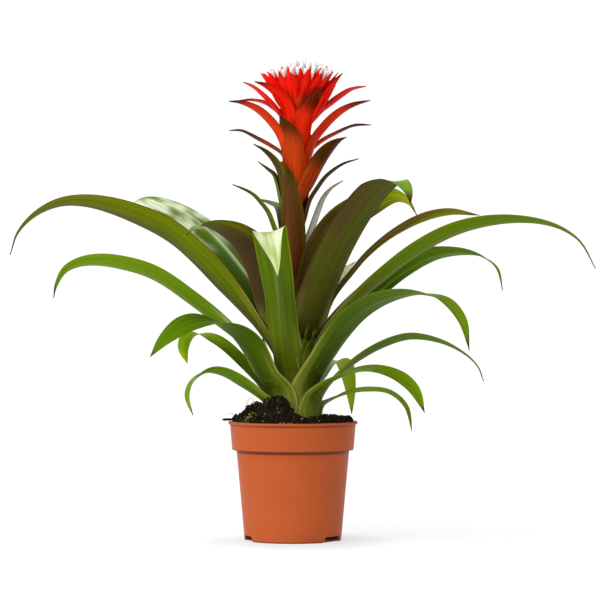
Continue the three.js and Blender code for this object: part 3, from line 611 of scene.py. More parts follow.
# From the innermost leaf outwards: azimuth, or that of root and tip, height of the sheath,
# width, roll, twist, cup, then the middle line as [distance, height], shape and looks.
LEAVES = [Leaf(*row) for row in [
    ((-20, -30), 178, 46, -24, -26, 28, [[22, 225], [33, 264], [54, 293], [83, 311], [104, 318],
     [120, 313], [130, 300]],
     {"taper": 0.38}, {"outer": (MAROON, DARK_OLIVE, "#aaba08"),
      "inner": (GREEN, OLIVE, BRIGHT_GREEN), "flush": (0.6, 0, 0.1, MAROON), "edge": (OLIVE, 0.5)}),
    ((80, 90), 178, 30, 0, 0, 28, [[24, 215], [38, 250], [62, 275], [92, 279], [122, 262]],
     {"span": 40}, {"flush": (0.4, 0, 0.1, MAROON)}),
    ((240, 232), 175, 40, 8, 0, 26, [[36, 220], [47, 245], [64, 269], [87, 283], [110, 289.5],
     [134, 290], [153, 281]],
     {"taper": 0.55}, {"outer": ("#7a7436", "#686c0a", OLIVE),
      "flush": (0.82, -1.7, 0.24, "#48361c"), "stripe_and_sheen": (0.95, 0.36, 0.2, 0.2, 1.2, "#686c0c"),
      "edge": (RED_BROWN, 0.45), "husk": (1.0, 0.36), "root_dark": 0.8}),
    ((-60, -55), 172, 41, 0, 0, 22, [[42, 222], [69, 262], [102, 299], [132, 321], [155, 328],
     [170, 323.5], [178, 316], [181, 307]],
     {"taper": 0.8, "taper_power": 1.2}, {"outer": ("#463e16", "#4c520e", DARK_OLIVE),
      "inner": (GREEN, "#648228", "#749828"), "flush": (0.36, -1.0, 0.1, "#503a22"),
      "edge": ("#3c3412", 0.5)}),
    ((140, 135), 170, 40, -30, 0, 26, [[40, 211], [74, 246], [110, 275], [148, 299], [186, 316],
     [212, 321], [232, 315]],
     {}, {"inner": ("#2a3c02", DEEP_GREEN, GREEN), "stripe_and_sheen": (0.6, -0.62, 0.09, 0.2, 1.2, "#b4c68c"),
      "gloss": (0.48, 0.3), "highlight_patch": 0.85, "root_dark": 0.6, "shine": 0.12}),
    ((20, 18), 170, 28, -20, -18, 28, [[30, 203], [42, 226], [59, 247], [75, 264.5], [100, 284],
     [128, 299], [155, 305.5], [186, 303.5]],
     {"span": 40}, {"outer": (MAROON, OLIVE, "#80860c"), "inner": (MAROON, OLIVE, OLIVE),
      "flush": (0.46, -0.6, 0.1, "#684816"), "edge": (RED_BROWN, 0.5)}),
    ((180, 178), 165, 36, 38, -34, 28, [[31, 193], [45, 211.5], [63, 234], [83, 256.5],
     [114, 283.5], [149, 301], [185, 312], [214, 313], [238, 303.5], [256, 286], [264, 265]],
     {}, {"outer": ("#56580c", "#627604", "#686e08"), "flush": (0.42, -1.2, 0.1, "#544a22"),
      "stripe_and_sheen": (0.5, 0.35, 0.2, 0.2, 1.2, "#747e0e"), "edge": (RED_BROWN, 0.5)}),
    ((0, -4), 162, 27, -28, 18, 26, [[32, 192], [50, 213.5], [80, 241], [114, 267.5], [150, 286.5],
     [185, 295], [220, 295.5], [247, 289], [266, 276], [280, 252]],
     {}, {"outer": ("#58421c", "#5c7608", GREEN), "flush": (0.36, 0.8, 0.1, "#68541e"),
      "tip_from": 0.91}),
    ((40, 36), 160, 31, 24, -6, 28, [[38, 180], [62, 203], [92, 226], [125, 248], [160, 264],
     [195, 269], [225, 266], [246, 254], [254, 232.5]],
     {}, {"inner": (DEEP_GREEN, DEEP_GREEN, GREEN),
      "stripe_and_sheen": (0.35, -0.5, 0.16, 0.2, 1.2, "#789632")}),
    ((257.5, 263.5), 155, 32, 8, 0, 55, [[40, 190], [58, 226], [78, 259], [96, 281], [103, 284],
     [109, 281], [113, 271], [116, 259], [118, 244]],
     {"tip_cup": 22, "turn_start": 0.72, "turn_end": 1, "twist_start": 0.42, "twist_end": 0.7,
      "taper": 0.8, "taper_power": 0.9}, {"outer": ("#505a0c", "#4c600e", GREEN),
      "inner": (GREEN, "#809832", "#a6b870"), "flush": (0.1, 0, 0.1, MAROON),
      "stripe_and_sheen": (0.45, -0.2, 0.18, 0.2, 1.2, "#707e46"), "husk": (0.3, 0.26), "highlight_patch": 0.6,
      "tip_from": 0.99}),
    ((100, 90), 155, 30, 0, 0, 28, [[36, 185], [52, 212], [74, 232], [100, 236], [120, 222]],
     {"span": 40}, {}),
    ((60, 55), 152, 24, 0, 0, 26, [[34, 180], [46, 208], [60, 228], [74, 242], [88, 252],
     [104, 260]],
     {"span": 40}, {"outer": (OLIVE, "#a0ac78", GREEN), "inner": (GREEN, "#a0ac78", "#c4c8a0"),
      "edge": (CREAM, 0.5)}),
    ((180, 188), 148, 29, 26, 2, 26, [[42, 177], [62, 196], [95, 222.5], [130, 246], [166, 257],
     [192, 258], [210, 251], [219, 237], [222, 225]],
     {"taper": 0.6}, {"outer": ("#64800a", "#5a7808", "#749806"),
      "stripe_and_sheen": (0.8, 0.5, 0.25, -0.1, 0.42, "#b0c080")}),
    ((-40, -38), 140, 35, -10, 10, 22, [[40, 172], [66, 201], [92, 217.5], [120, 226], [147, 228],
     [172, 222], [191, 204], [199, 178]],
     {}, {"outer": ("#44540a", "#485e1a", GREEN), "stripe_and_sheen": (0.2, -0.3, 0.2, 0.2, 1.2, "#8c9c5a")}),
    ((220, 218), 138, 34, 9, -37, 24, [[36, 156], [52, 181], [74, 197.5], [98, 204], [122, 200.5],
     [144, 188], [162, 172]],
     {"twist_start": 0.35, "twist_end": 0.8}, {"outer": ("#3e4e04", "#3e5806", "#4a6804"),
      "inner": (GREEN, "#425e06", "#547406"), "tip_from": 0.95}),
    (60, 136, 22, 0, 0, 24, [[44, 148], [62, 160], [80, 165], [96, 162], [105, 149], [110, 134],
     [113, 113]],
     {"span": 40}, {"outer": (OLIVE, "#84a028", "#88a414"),
      "inner": (GREEN, "#96a86e", BRIGHT_GREEN)}),
    ((160, 158), 129, 22, -14, 60, 26, [[34, 146], [54, 166], [74, 182], [94, 190.5], [106, 188.5],
     [111, 178], [107.5, 163]],
     {"span": 40, "taper": 0.62, "twist_start": 0.6}, {"outer": ("#546c0a", "#527208", "#88ac08"),
      "inner": (GREEN, GREEN, "#88ac08"), "tip_from": 0.97}),
    ((0, 5), 126, 20, -20, 12, 24, [[36, 146], [60, 166.5], [85, 180.5], [110, 187.5], [138, 183.5],
     [160, 173], [173, 161], [179, 147]],
     {"span": 40}, {"outer": (OLIVE, "#4c6422", GREEN), "tip_from": 0.93}),
    ((-40, -30), 124, 28, 12, 8, 26, [[31, 137], [51, 150.5], [80, 158.5], [107, 154], [126, 141.5],
     [138, 121]],
     {"span": 40}, {"outer": ("#405a06", GREEN, GREEN)}),
    (200, 125, 25, 16, -26, 26, [[31, 131.5], [50, 145], [68, 154.5], [84, 156.5], [97, 148.5],
     [102.5, 135], [97.5, 117]],
     {"span": 40}, {"outer": ("#60780a", "#5c7c0a", GREEN)}),
    (100, 124, 24, 0, 0, 26, [[31, 138], [45, 150], [66, 158], [86, 150], [98, 128]],
     {"span": 40}, {}),
    ((20, 12), 119.5, 17, -14, 0, 26, [[31, 125.5], [50, 134.5], [70, 138], [92, 136], [108, 123],
     [114, 100]],
     {"span": 40}, {"outer": ("#627a14", "#729012", GREEN)}),
]]


def sheath_radii():
    """Radius of each leaf's sheath: just outside every leaf inside it that it overlaps."""
    feet = [np.broadcast_to(leaf.azimuth, 2)[0] for leaf in LEAVES]
    spans = [leaf.shape.get("span", PLAIN_BLADE["span"]) for leaf in LEAVES]
    radii = []
    for i in range(len(LEAVES)):
        radius = STEM["first"]
        for k in range(i):
            apart = abs((feet[i] - feet[k] + 540) % 360 - 180)
            if apart < spans[i] + spans[k] + STEM["step"] / 2:
                radius = max(radius, radii[k] + STEM["pitch"])
        radii.append(radius)
    return radii


def make_leaves():
    radii = sheath_radii()
    slots = {part["node"]: part["material_slot"] for part in frame["record"]["subparts"]}
    for i, (leaf, radius) in enumerate(zip(LEAVES, radii)):
        share = (radius - STEM["first"]) / (max(radii) - STEM["first"])
        foot = STEM["top"] + (STEM["foot"] - STEM["top"]) * share
        top = max(leaf.top, foot + STEM["shortest"])
        sheet = Sheet()
        add_blade(sheet, {
            "azimuth": leaf.azimuth, "width": leaf.width, "roll": leaf.roll,
            "twist": leaf.twist, "cup": leaf.cup, "root_radius": radius, "seed": i * 1.7,
            "wave": 0.7, "crease": 0.25, "points": [[radius, foot], [radius, top], *leaf.path],
            **leaf.shape}, LEAF_STATIONS, LEAF_ACROSS)
        name = f"leaf_{i + 1:02d}"
        skin = leaf_finish(f"{name}_skin", {**PLAIN_LEAF, **leaf.look}, i * 2.37)
        hold(sheet.build(f"blade_{i + 1:02d}", skin), slots[name], name)


# ---------------------------------------------------------------- stalk and flower head

# Outlines of the stem and of the head's core, as [radius, height]. Both take the colours of
# this place on a blade. Bracts start at this radius, sunk in by so much.
STEM_OUTLINE = [(0, 103.4), (26.5, 103.4), (26.5, 109), (18, 130), (9.7, 150), (8.4, 158),
                (8.4, 230), (8, 250), (7.6, 275), (7.6, 306), (0, 306)]
CORE_OUTLINE = [(0, 306.4), (7.6, 306.4), (7.6, 392), (12, 402), (18, 414), (19.5, 420),
                (12, 424), (0, 425)]
BARE = (0.2, 0.3, -1)
STALK_RADIUS = 7.6
BRACT_SINK = 1.4

PLAIN_BRACT = {"open_end": 0.3, "turn_end": 0.9, "tip_cup": 40, "wave": 0.35, "waves": 7,
               "crease": 0.3}
PLAIN_SCRAP = {"cup": 35, "span": 3, "wave": 1.1, "waves": 14, "taper": 0.3}

# Bracts: azimuth, or that of root and tip, height of the root, width, cup, how ripe it is,
# where its tip darkens, middle line as [distance, height], and its taper if it is unusual.
STALK_BRACTS = [
    ((268, 247), 238, 29, 62, 0.33, 0.84, [[10.5, 258], [12, 285], [13.5, 310], [16, 330],
     [22, 348]], 0.35),
    (195, 255, 14, 40, 0.13, 0.86, [[12, 272], [20, 289], [26, 303], [32, 311], [42, 321],
     [60, 330]]),
    (150, 262, 19, 40, 0.1, 0.85, [[11, 276], [14, 290], [19, 308], [28, 313], [41, 318]]),
    (170, 284, 17, 45, 0.14, 0.7, [[10.5, 298], [14, 313], [21, 338], [28, 345], [36, 352]]),
    (205, 288, 19, 45, 0.3, 0.75, [[10.5, 302], [13, 318], [17, 339], [23, 350], [33, 360],
     [44, 367]]),
    (25, 262, 14, 40, 0.0, 0.92, [[13, 274], [20, 289], [26, 306], [31, 318], [38, 327],
     [49, 335]]),
    ((0, 10), 282, 16, 45, 0.35, 0.6, [[11, 298], [15, 315], [22, 327], [30, 338], [44, 349],
     [59, 355]]),
    ((95, 100), 250, 24, 55, 0.2, 0.8, [[11, 268], [13, 290], [19, 312], [31, 328], [48, 336]]),
    ((60, 55), 286, 20, 50, 0.33, 0.7, [[11, 302], [14, 320], [21, 338], [33, 352], [50, 358]]),
    ((120, 125), 290, 20, 50, 0.62, 0.8, [[11, 305], [14, 325], [19, 340], [27, 350], [37, 353]]),
]

HEAD_BRACTS = [
    ((262, 236), 309, 27, 58, 0.55, 0.72, [[10, 326], [12, 345], [15, 364], [20, 380], [30, 393]]),
    (-45, 309, 24, 52, 0.52, 0.5, [[13, 320], [21, 332], [30, 345], [40, 357], [52, 367],
     [64, 372]]),
    (175, 334, 15, 44, 0.52, 0.6, [[10, 347], [14, 358], [24, 365], [37, 372], [52, 380],
     [64, 381]]),
    (190, 350, 27, 48, 0.72, 0.82, [[12, 358], [17, 371], [23, 381], [32, 391], [42, 399],
     [55, 405], [66, 407]]),
    (160, 372, 18, 40, 0.97, 0.8, [[11, 384], [17, 394], [26, 401], [34, 406], [45, 409],
     [59, 410]]),
    (175, 384, 21, 40, 0.97, 0.95, [[15, 391], [24, 402], [33, 411], [43, 420], [53, 426]]),
    (215, 366, 24, 42, 0.9, 0.86, [[11, 380], [15, 396], [23, 409], [36, 418], [51, 424]]),
    (15, 346, 14, 44, 0.72, 0.55, [[11, 357], [18, 365], [27, 372], [38, 378], [53, 385],
     [71, 387]]),
    (-10, 340, 27, 48, 0.78, 0.78, [[12.5, 352], [18, 369], [28, 383], [40, 395], [52, 402.5],
     [67, 408]]),
    (15, 380, 24, 40, 0.97, 1.0, [[14, 388], [23, 398], [32, 405], [41, 412], [51, 419],
     [64, 423]]),
    (-15, 384, 21, 40, 0.98, 0.86, [[16, 392], [24, 403], [30, 414], [35, 425], [40, 433]]),
    (180, 388, 15, 40, 1.0, 1.1, [[14, 398], [22, 409], [29, 422], [37, 434]]),
    ((288, 303), 352, 23, 50, 0.82, 0.62, [[10.5, 368], [14, 384], [20, 399], [28, 411],
     [35, 419]]),
    (60, 330, 18, 46, 0.7, 0.7, [[11, 345], [15, 360], [21, 370], [28, 376], [36, 378]]),
    (110, 334, 20, 48, 0.75, 0.75, [[11, 350], [15, 368], [24, 384], [38, 396], [56, 401]]),
    (85, 362, 18, 44, 0.95, 0.85, [[11, 376], [18, 392], [28, 404], [43, 413], [58, 416]]),
    (130, 378, 16, 42, 0.97, 0.85, [[13, 390], [21, 403], [31, 414], [44, 422], [55, 425]]),
    (45, 380, 16, 42, 0.97, 0.85, [[13, 392], [20, 404], [28, 414], [38, 421], [47, 424]]),
]

# Torn, papery bits of old leaf in the crown: azimuth, width, how ripe, middle line.
SCRAPS = [
    (-68, 7, 0.14, [[22, 160], [26, 177], [29, 186], [33, 191]]),
    (-61, 6, 0.18, [[23, 160], [28, 176], [34, 185], [41, 188]]),
    (-76, 5, 0.16, [[23, 160], [26, 178], [28, 188], [31, 196]]),
    (-56, 5, 0.24, [[24, 162], [30, 180], [37, 194], [44, 200]]),
    (-66, 4, 0.22, [[22, 165], [27, 182], [33, 198], [36, 204]]),
    (222, 9, 0.112, [[30, 160], [34, 174], [36, 182], [37, 188]]),
]

# Rings of upright bracts in the head, from the outside inwards: how many, height of the
# roots, width, radius at the roots, and middle line.
CUP_RINGS = [
    (17, 400, 13, 11.6, [[17, 410], [25, 418], [31, 426], [36, 433]]),
    (17, 400, 11, 11.2, [[16, 410], [22, 420], [26, 428], [29, 435.5]]),
    (15, 408, 7, 9, [[14, 416], [19, 425], [22.5, 432], [25, 438]]),
    (13, 412, 6, 6.5, [[11, 419], [14, 427], [16.5, 433.5], [19, 439.5]]),
    (9, 414, 5, 3.5, [[6, 421], [9, 428], [11, 434], [13, 439.5]]),
    (4, 415, 4.5, 1.8, [[3.5, 422], [4.5, 428], [5.2, 433], [6, 438]]),
]

# What they share: their cup and taper, how much they roll, how far their tips stray up and
# out, how their widths and ripeness vary, where they darken, and points along and across.
CUP = {"cup": 34, "taper": 0.55, "roll": 24, "rise": 4.5, "stray": 3, "width": (0.85, 1.15),
       "ripe": (0.93, 1.0), "dark": 1.2, "points": (18, 7)}

# White florets, between the cup bracts and above them: how many, how far out, how high, and
# how much they lean outwards.
FLORET_RINGS = [
    (24, 29.5, 437.5, 26), (21, 25, 440.5, 21), (18, 20, 443.2, 17), (14, 15, 445.2, 13),
    (10, 10, 446.5, 9), (6, 5.5, 447.2, 5), (1, 0, 447.6, 0),
]

# A floret's outline: share of its length, and of its girth there.
FLORET_OUTLINE = [(0, 0.5), (0.3, 0.55), (0.55, 0.7), (0.75, 1), (0.88, 1.08), (0.96, 0.9),
                  (1, 0.6)]

# The range of its girth and length, what its three petals add to the girth and to the rim,
# how deep the throat is, how it varies in height and lean, and its points along and around.
FLORET = {"girth": (1.35, 1.8), "length": (18, 20), "lobes": 0.13, "rim": 0.8, "throat": 1.4,
          "height": (-1.6, 0.3), "lean": 3, "rows": 12, "sides": 12}
FLORET_DISC = [(0, 424.2), (17.5, 424.2), (17, 425.5), (9, 427.2), (0, 427.6)]
TUFT_HEIGHT = 430  # all florets are shifted as far as the stalk is here
FULL_TURN = 6.3  # just over one turn in radians, so that "around" stays below 1


def add_bract(sheet, seed, azimuth, root, width, cup, ripe, dark, path, taper=0.55,
              holder=STALK_RADIUS, roll=0, stations=34, across=11):
    """A bract that starts at height root, just inside a holder of that radius."""
    foot = holder - BRACT_SINK
    add_blade(sheet, {
        **PLAIN_BRACT, "azimuth": azimuth, "width": width, "cup": cup, "roll": roll,
        "taper": taper, "root_radius": foot, "points": [[foot, root], *path], "seed": seed,
    }, stations, across, leaning=True, tone=(ripe, dark, seed))


def make_stalk():
    sheet = Sheet()
    add_lathe(sheet, STEM_OUTLINE, 40, leaning=True, blade=BARE, tone=(0.36, 2, 3))
    for i, bract in enumerate(STALK_BRACTS):
        add_bract(sheet, i * 3.1, *bract)
    for i, (azimuth, width, ripe, path) in enumerate(SCRAPS):
        add_blade(sheet, {
            **PLAIN_SCRAP, "azimuth": azimuth, "width": width, "seed": i * 2.1,
            "root_radius": path[0][0], "points": path}, 16, 7, tone=(ripe, 0.8, i * 4.3))
    skin = bract_finish("stalk_skin", 0.4)
    hold(sheet.build("stalk_with_bracts", skin), "stalk_bracts", "stalk")


def make_head():
    sheet = Sheet()
    add_lathe(sheet, CORE_OUTLINE, 40, leaning=True, blade=BARE, tone=(0.9, 2, 1))
    for i, bract in enumerate(HEAD_BRACTS):
        add_bract(sheet, i * 2.3 + 40, *bract)
    draw = random.Random(7)
    for number, (count, root, width, holder, path) in enumerate(CUP_RINGS):
        for i in range(count):
            azimuth = 360 * (i + 0.5 * (number % 2) + 0.3 * draw.random()) / count
            higher = CUP["rise"] * (draw.random() - 0.5)
            wider = CUP["stray"] * (draw.random() - 0.5)
            own = [[reach + wider * k / 3, height + higher * k / 3]
                   for k, (reach, height) in enumerate(path)]
            size = width * draw.uniform(*CUP["width"])
            ripe, seed = draw.uniform(*CUP["ripe"]), draw.uniform(0, 60)
            roll = draw.uniform(-CUP["roll"], CUP["roll"])
            add_bract(sheet, seed, azimuth, root, size, CUP["cup"], ripe, CUP["dark"], own,
                      CUP["taper"], holder, roll, *CUP["points"])
    skin = bract_finish("head_skin", 0.38)
    hold(sheet.build("head_bracts", skin), "red_bracts", "flower_head")


def floret_finish():
    f = Finish("floret_skin", IOR=1.4, Subsurface_Weight=0.6, Subsurface_Scale=1.0,
               Subsurface_Radius=(0.005, 0.004, 0.0035), Specular_IOR_Level=0.1)
    around, along, own = f.attribute("floret")
    vein = f.streaks((around, along), (6, 2), own)
    colour = f.ramp(along, FLORET_COLOURS)
    colour = f.mix(f.scaled(vein, 0.5, 0.75, 0, 0.12), colour, FLORET_FLUSH)
    f.bump(vein, 0.3, 0.0003)
    return f.finish(colour, f.linear(vein, 0.2, 0.8, 0.45, 0.6))


def make_florets():
    """Each floret is a slender tube of three petals whose white ends stand round its mouth."""
    sheet = Sheet()
    add_lathe(sheet, FLORET_DISC, 32, leaning=True, floret=(0, 0.1, 0))
    draw = random.Random(11)
    rows, sides = FLORET["rows"], FLORET["sides"]
    shares = np.linspace(0, 1, rows)[:, None]
    outline = np.interp(shares, *zip(*FLORET_OUTLINE))
    angles = 2 * np.pi * np.arange(sides) / sides
    petals = np.cos(3 * angles)
    faces = grid_faces(rows, sides, closed=True)
    faces.append(tuple(range(sides))[::-1])
    rim, mouth = (rows - 1) * sides, rows * sides
    faces += [(rim + k, rim + (k + 1) % sides, mouth) for k in range(sides)]
    for count, distance, top, tilt in FLORET_RINGS:
        for i in range(count):
            azimuth = 2 * math.pi * (i + 0.6 + 0.2 * draw.random()) / count
            height = top + draw.uniform(*FLORET["height"])
            girth, length = draw.uniform(*FLORET["girth"]), draw.uniform(*FLORET["length"])
            lean = math.radians(tilt + draw.uniform(-FLORET["lean"], FLORET["lean"]))
            radius = girth * outline * (1 + FLORET["lobes"] * petals * shares)
            lift = FLORET["rim"] * (petals * shares**6 - 1) - length * (1 - shares)
            tube = np.stack([radius * np.cos(angles), radius * np.sin(angles), lift], 2)
            points = np.concatenate([tube.reshape(-1, 3), [[0, 0, -FLORET["throat"]]]])
            turn = Matrix.Rotation(azimuth, 3, "Z") @ Matrix.Rotation(lean, 3, "Y")
            points = points @ np.array(turn).T
            points += [distance * math.cos(azimuth), distance * math.sin(azimuth), height]
            points[:, 0] += lean_at(TUFT_HEIGHT)
            values = np.stack(np.broadcast_arrays(angles / FULL_TURN, shares, azimuth), 2)
            values = np.concatenate([values.reshape(-1, 3), [[0, 0.7, azimuth]]])
            sheet.add(points, faces, floret=values)
    hold(sheet.build("floret_tuft", floret_finish()), "white_florets", "florets")


# ---------------------------------------------------------------- pot

# The pot: radii from the base to the rim, heights of the band and the lip, wall and floor.
POT = {"base": 44.8, "neck": 52.4, "band_foot": 56.4, "band_top": 58.4, "rim": 60,
       "band_z": 83.9, "rim_z": 108, "height": 110.4, "wall": 1.6, "floor": 2}
SHARP = 35  # edges of the pot that turn by more than this stay sharp
# Notches in its base: where, how high, from which radius, how wide at the bottom and the top.
NOTCHES = {"azimuths": (-33, 82, 197), "height": 5.3, "from": 39, "bottom": 30, "top": 23}


def rounded(profile, steps=4):
    """The [point, radius] profile with each corner of some radius turned into a small arc."""
    made = []
    for i, (point, radius) in enumerate(profile):
        if not radius:
            made.append(point)
            continue
        here = Vector(point)
        before, after = Vector(profile[i - 1][0]) - here, Vector(profile[i + 1][0]) - here
        cut = min(radius, before.length * 0.45, after.length * 0.45)
        start, end = here + before.normalized() * cut, here + after.normalized() * cut
        made += [tuple(bend(start, here, end, k / steps)) for k in range(steps + 1)]
    return made


def pot_finish():
    f = Finish("pot_skin", IOR=1.48, Specular_IOR_Level=0.12)
    place = f.place()
    z = f.node("ShaderNodeSeparateXYZ", {0: place}).outputs["Z"]
    cloud = f.noise(place, 60, 4, 0.6)
    grain = f.noise(place, 2600, 2)
    turned = f.noise(f.vector(0.0, 0.0, z), 900, 2)
    colour = f.mix(f.scaled(f.noise(place, 14, 2), 0.3, 0.7), TERRACOTTA, PALE_TERRACOTTA)
    lip, band = POT["rim_z"], POT["band_z"]
    # Darker in a patchy band just under the lip.
    under_lip = f.band(z, (lip - 2.5) * MM, (lip - 0.2) * MM, (lip - 0.1) * MM, (lip + 0.6) * MM)
    under_lip = f.times(under_lip, f.scaled(cloud, 0.3, 0.6, 0.35, 0.8))
    colour = f.mix(under_lip, colour, UNDER_LIP_DARK)
    # Painted shadow in a line just under the lower edge of the raised band.
    under_band_shadow = f.band(z, (band - 3.1) * MM, (band - 1.7) * MM, (band + 0.1) * MM, (band + 1.3) * MM)
    colour = f.mix(f.times(under_band_shadow, 0.85), colour, BAND_SHADE)
    # Darker in patches towards the foot, and darkest along the bottom edge.
    foot = f.times(f.scaled(z, 12 * MM, 0.0), f.scaled(cloud, 0.4, 0.7, 0, 0.35))
    colour = f.mix(foot, colour, FOOT_DARKENING)
    colour = f.mix(f.scaled(z, 1.8 * MM, 0.6 * MM, 0, 0.8), colour, SOLE_LINE)
    drawn = f.node("ShaderNodeMapping", {"Vector": place, "Scale": (30, 30, 260)}).outputs[0]
    roughness = f.plus(f.linear(cloud, 0.3, 0.7, 0.42, 0.48),
                       f.scaled(f.noise(drawn, 1, 3, 0.7), 0.55, 0.75, 0, 0.06))
    f.bump(f.plus(f.times(grain, 0.5), turned), 0.12, 0.0003)
    return f.finish(colour, roughness)


def make_pot():
    base, neck, wall, floor = POT["base"], POT["neck"], POT["wall"], POT["floor"]
    band_z, height = POT["band_z"], POT["height"]

    def inside(z):
        return (base - wall + (neck - base) / band_z * z, z)

    profile = [
        ((0, 0.4), 0), ((30, 0.0), 0), ((base, 0.0), 1.2), ((neck, band_z), 0.7),
        ((POT["band_foot"], band_z), 0.9), ((POT["band_top"], POT["rim_z"] - 0.5), 0.5),
        ((POT["rim"], POT["rim_z"]), 0.7), ((POT["rim"], height), 0.9),
        ((POT["band_top"] - wall, height), 0.6), ((POT["band_foot"] - wall, band_z + wall), 0.5),
        (inside(band_z - wall), 0.5), (inside(floor), 0.8), ((0, floor), 0)]
    sheet = Sheet()
    add_lathe(sheet, rounded(profile), 180)
    pot = sheet.build("nursery_pot", pot_finish())
    cutters = Sheet()
    low, high, deep = NOTCHES["bottom"] / 2, NOTCHES["top"] / 2, NOTCHES["height"]
    corners = [(r, y, z) for r in (NOTCHES["from"], neck)
               for y, z in ((-low, -1), (low, -1), (high, deep), (-high, deep))]
    for azimuth in NOTCHES["azimuths"]:
        turn = np.array(Matrix.Rotation(math.radians(azimuth), 3, "Z"))
        cutters.add(np.array(corners, float) @ turn.T,
                    [(0, 3, 2, 1), (4, 5, 6, 7), (0, 1, 5, 4), (1, 2, 6, 5), (2, 3, 7, 6),
                     (3, 0, 4, 7)])
    cutter = cutters.build("notches", pot.data.materials[0])
    cut = pot.modifiers.new("notches", "BOOLEAN")
    cut.object = cutter
    cut.solver = "EXACT"
    graph = bpy.context.evaluated_depsgraph_get()
    mesh = bpy.data.meshes.new_from_object(pot.evaluated_get(graph))
    pot.modifiers.clear()
    pot.data = mesh
    mesh.shade_smooth()
    mesh.set_sharp_from_angle(angle=math.radians(SHARP))
    bpy.data.objects.remove(cutter)
    hold(pot, "pot_plastic", "pot")


# ---------------------------------------------------------------- potting mix

# The mix: heights of its surface at the rim and at the crown, and the radii between which it
# rises. Then its sides inside the pot and the hole for the plant, as [radius, height].
SOIL = {"rim": 112.5, "crown": 114.5, "edge": 56.8, "hole": 28.6}
SOIL_SIDE = [(43.4, 2.35), (50.2, 82.3), (54.4, 85.5), (56.1, 109.5)]
SOIL_HOLE = [(27.6, 104), (12, 103)]
SOIL_ROUGHNESS = 0.55

# Heaps on it: azimuth, distance, how high and how broad.
MOUNDS = [(232, 40, 13.5, 6.3), (245, 38, 8.5, 6.3), (258, 37, 14.5, 6.3),
          (196, 35, 14, 10.5), (345, 46, 2, 12)]


def soil_height(x, y):
    radius = np.hypot(x, y)
    height = SOIL["rim"] + (SOIL["crown"] - SOIL["rim"]) * ease(
        0, 1, (SOIL["edge"] - radius) / (SOIL["edge"] - SOIL["hole"]))
    for azimuth, distance, rise, spread in MOUNDS:
        dx = x - distance * math.cos(math.radians(azimuth))
        dy = y - distance * math.sin(math.radians(azimuth))
        height = height + rise * np.exp(-(dx * dx + dy * dy) / (2 * spread**2))
    return height - 2.2 * ease(54, 57, radius)


def soil_finish():
    """Potting mix: "crumb" holds the kind of a bit, 0 for the mix itself, and its own tone."""
    f = Finish("soil_skin", IOR=1.3, Specular_IOR_Level=0.2)
    place = f.place()
    kind, own, _ = f.attribute("crumb")
    lumps = f.noise(place, 420, 4, 0.65)
    fine = f.noise(place, 2400, 4, 0.7)
    colour = f.mix(f.linear(own, 0.0, 1.0, 0.0, 0.8), f.ramp(lumps, MIX_COLOURS),
                   f.ramp(own, CRUMB_COLOURS))
    moss = f.times(f.scaled(f.noise(place, 130, 3), 0.58, 0.68, 0, 0.6),
                   f.scaled(lumps, 0.45, 0.6))
    colour = f.mix(moss, colour, MOSS_FILM)
    colour = f.mix(f.scaled(fine, 0.64, 0.76, 0, 0.45), colour, PALE_GRAIN)
    colour = f.mix(f.scaled(kind, 1.4, 1.6), colour, f.ramp(own, BIT_COLOURS))
    f.bump(f.plus(lumps, f.times(fine, 0.5)), 0.9, 0.0012)
    return f.finish(colour, f.linear(fine, 0.3, 0.7, 0.8, 0.98))


def rough_pebble(draw, size):
    """An irregular crumb: an icosahedron with its corners pushed about."""
    made = bmesh.new()
    bmesh.ops.create_icosphere(made, subdivisions=1, radius=1)
    stretch = Vector((draw.uniform(0.6, 1.5), draw.uniform(0.6, 1.2), draw.uniform(0.5, 1.0)))
    turn = Euler([draw.uniform(0, math.tau) for _ in range(3)]).to_matrix()
    points = [turn @ Vector(a * b * draw.uniform(0.75, 1.2) for a, b in zip(v.co, stretch))
              * size for v in made.verts]
    faces = [tuple(v.index for v in face.verts) for face in made.faces]
    made.free()
    return np.array([tuple(p) for p in points]), faces


# Kinds of crumb. The mix itself is 0.
PEAT, ODD = 1, 2

# Fine roots and stalks in the mix: three points of a curve, thickness, and what they are.
THREADS = [
    ((-41.5, -38, 121), (-43, -38, 131), (-37, -38, 134.5), 0.35, ROOT),
    ((-44, -36, 124), (-40, -36, 141), (-33, -37, 126), 0.3, ROOT),
    ((-39, -37, 124), (-35, -37, 134), (-36, -37, 137), 0.25, ROOT),
    ((-37, -50, 117), (-48, -54, 113), (-40, -57.5, 111.6), 0.5, CHIP),
    ((-26, -50, 118), (-20, -52, 122), (-12, -52, 115), 0.5, ROOT),
    ((-20, -44, 128), (-14, -52, 122), (-6, -54, 114), 0.45, ROOT),
    ((2, -50, 115), (8, -54, 117), (14, -54, 113.5), 0.35, ROOT),
    ((40, -36, 114), (42, -38, 123), (46, -38, 116), 0.3, ROOT),
    ((33, -42, 114), (36, -42, 121), (31, -42, 124), 0.3, ROOT),
    ((-52, -20, 114), (-58, -16, 122), (-62, -14, 116), 0.4, ROOT),
]

# Loose bits, one by one: place, length, width and thickness, and what it is.
BITS = [
    ((-39, -47, 118.5), (3.4, 2, 1.6), SPROUT), ((-36, -47, 120), (3, 1.6, 1.2), SPROUT),
    ((-41, -49, 116.5), (2.4, 1.6, 1.2), SPROUT), ((-33.5, -47, 118), (1.8, 1, 1), SPROUT),
    ((-25, -50, 119), (2, 1.2, 1.2), SPROUT), ((-13, -52, 121), (1.8, 1.2, 1), SPROUT),
    ((-11.5, -58.6, 111), (1.6, 1, 0.8), CHIP), ((-8, -59, 110.9), (2.2, 1, 0.8), CHIP),
    ((-4, -58.8, 110.9), (1.8, 1, 0.7), CHIP), ((-1, -59, 110.6), (1.4, 0.9, 0.7), CHIP),
    ((9, -52, 115), (2.6, 1.2, 1), CHIP), ((27, -48, 115), (3.2, 1.6, 1), ROOT),
]
BARK = ((-60.5, -8, 112.3), (12.4, 6.4, 2.6), ROOT)


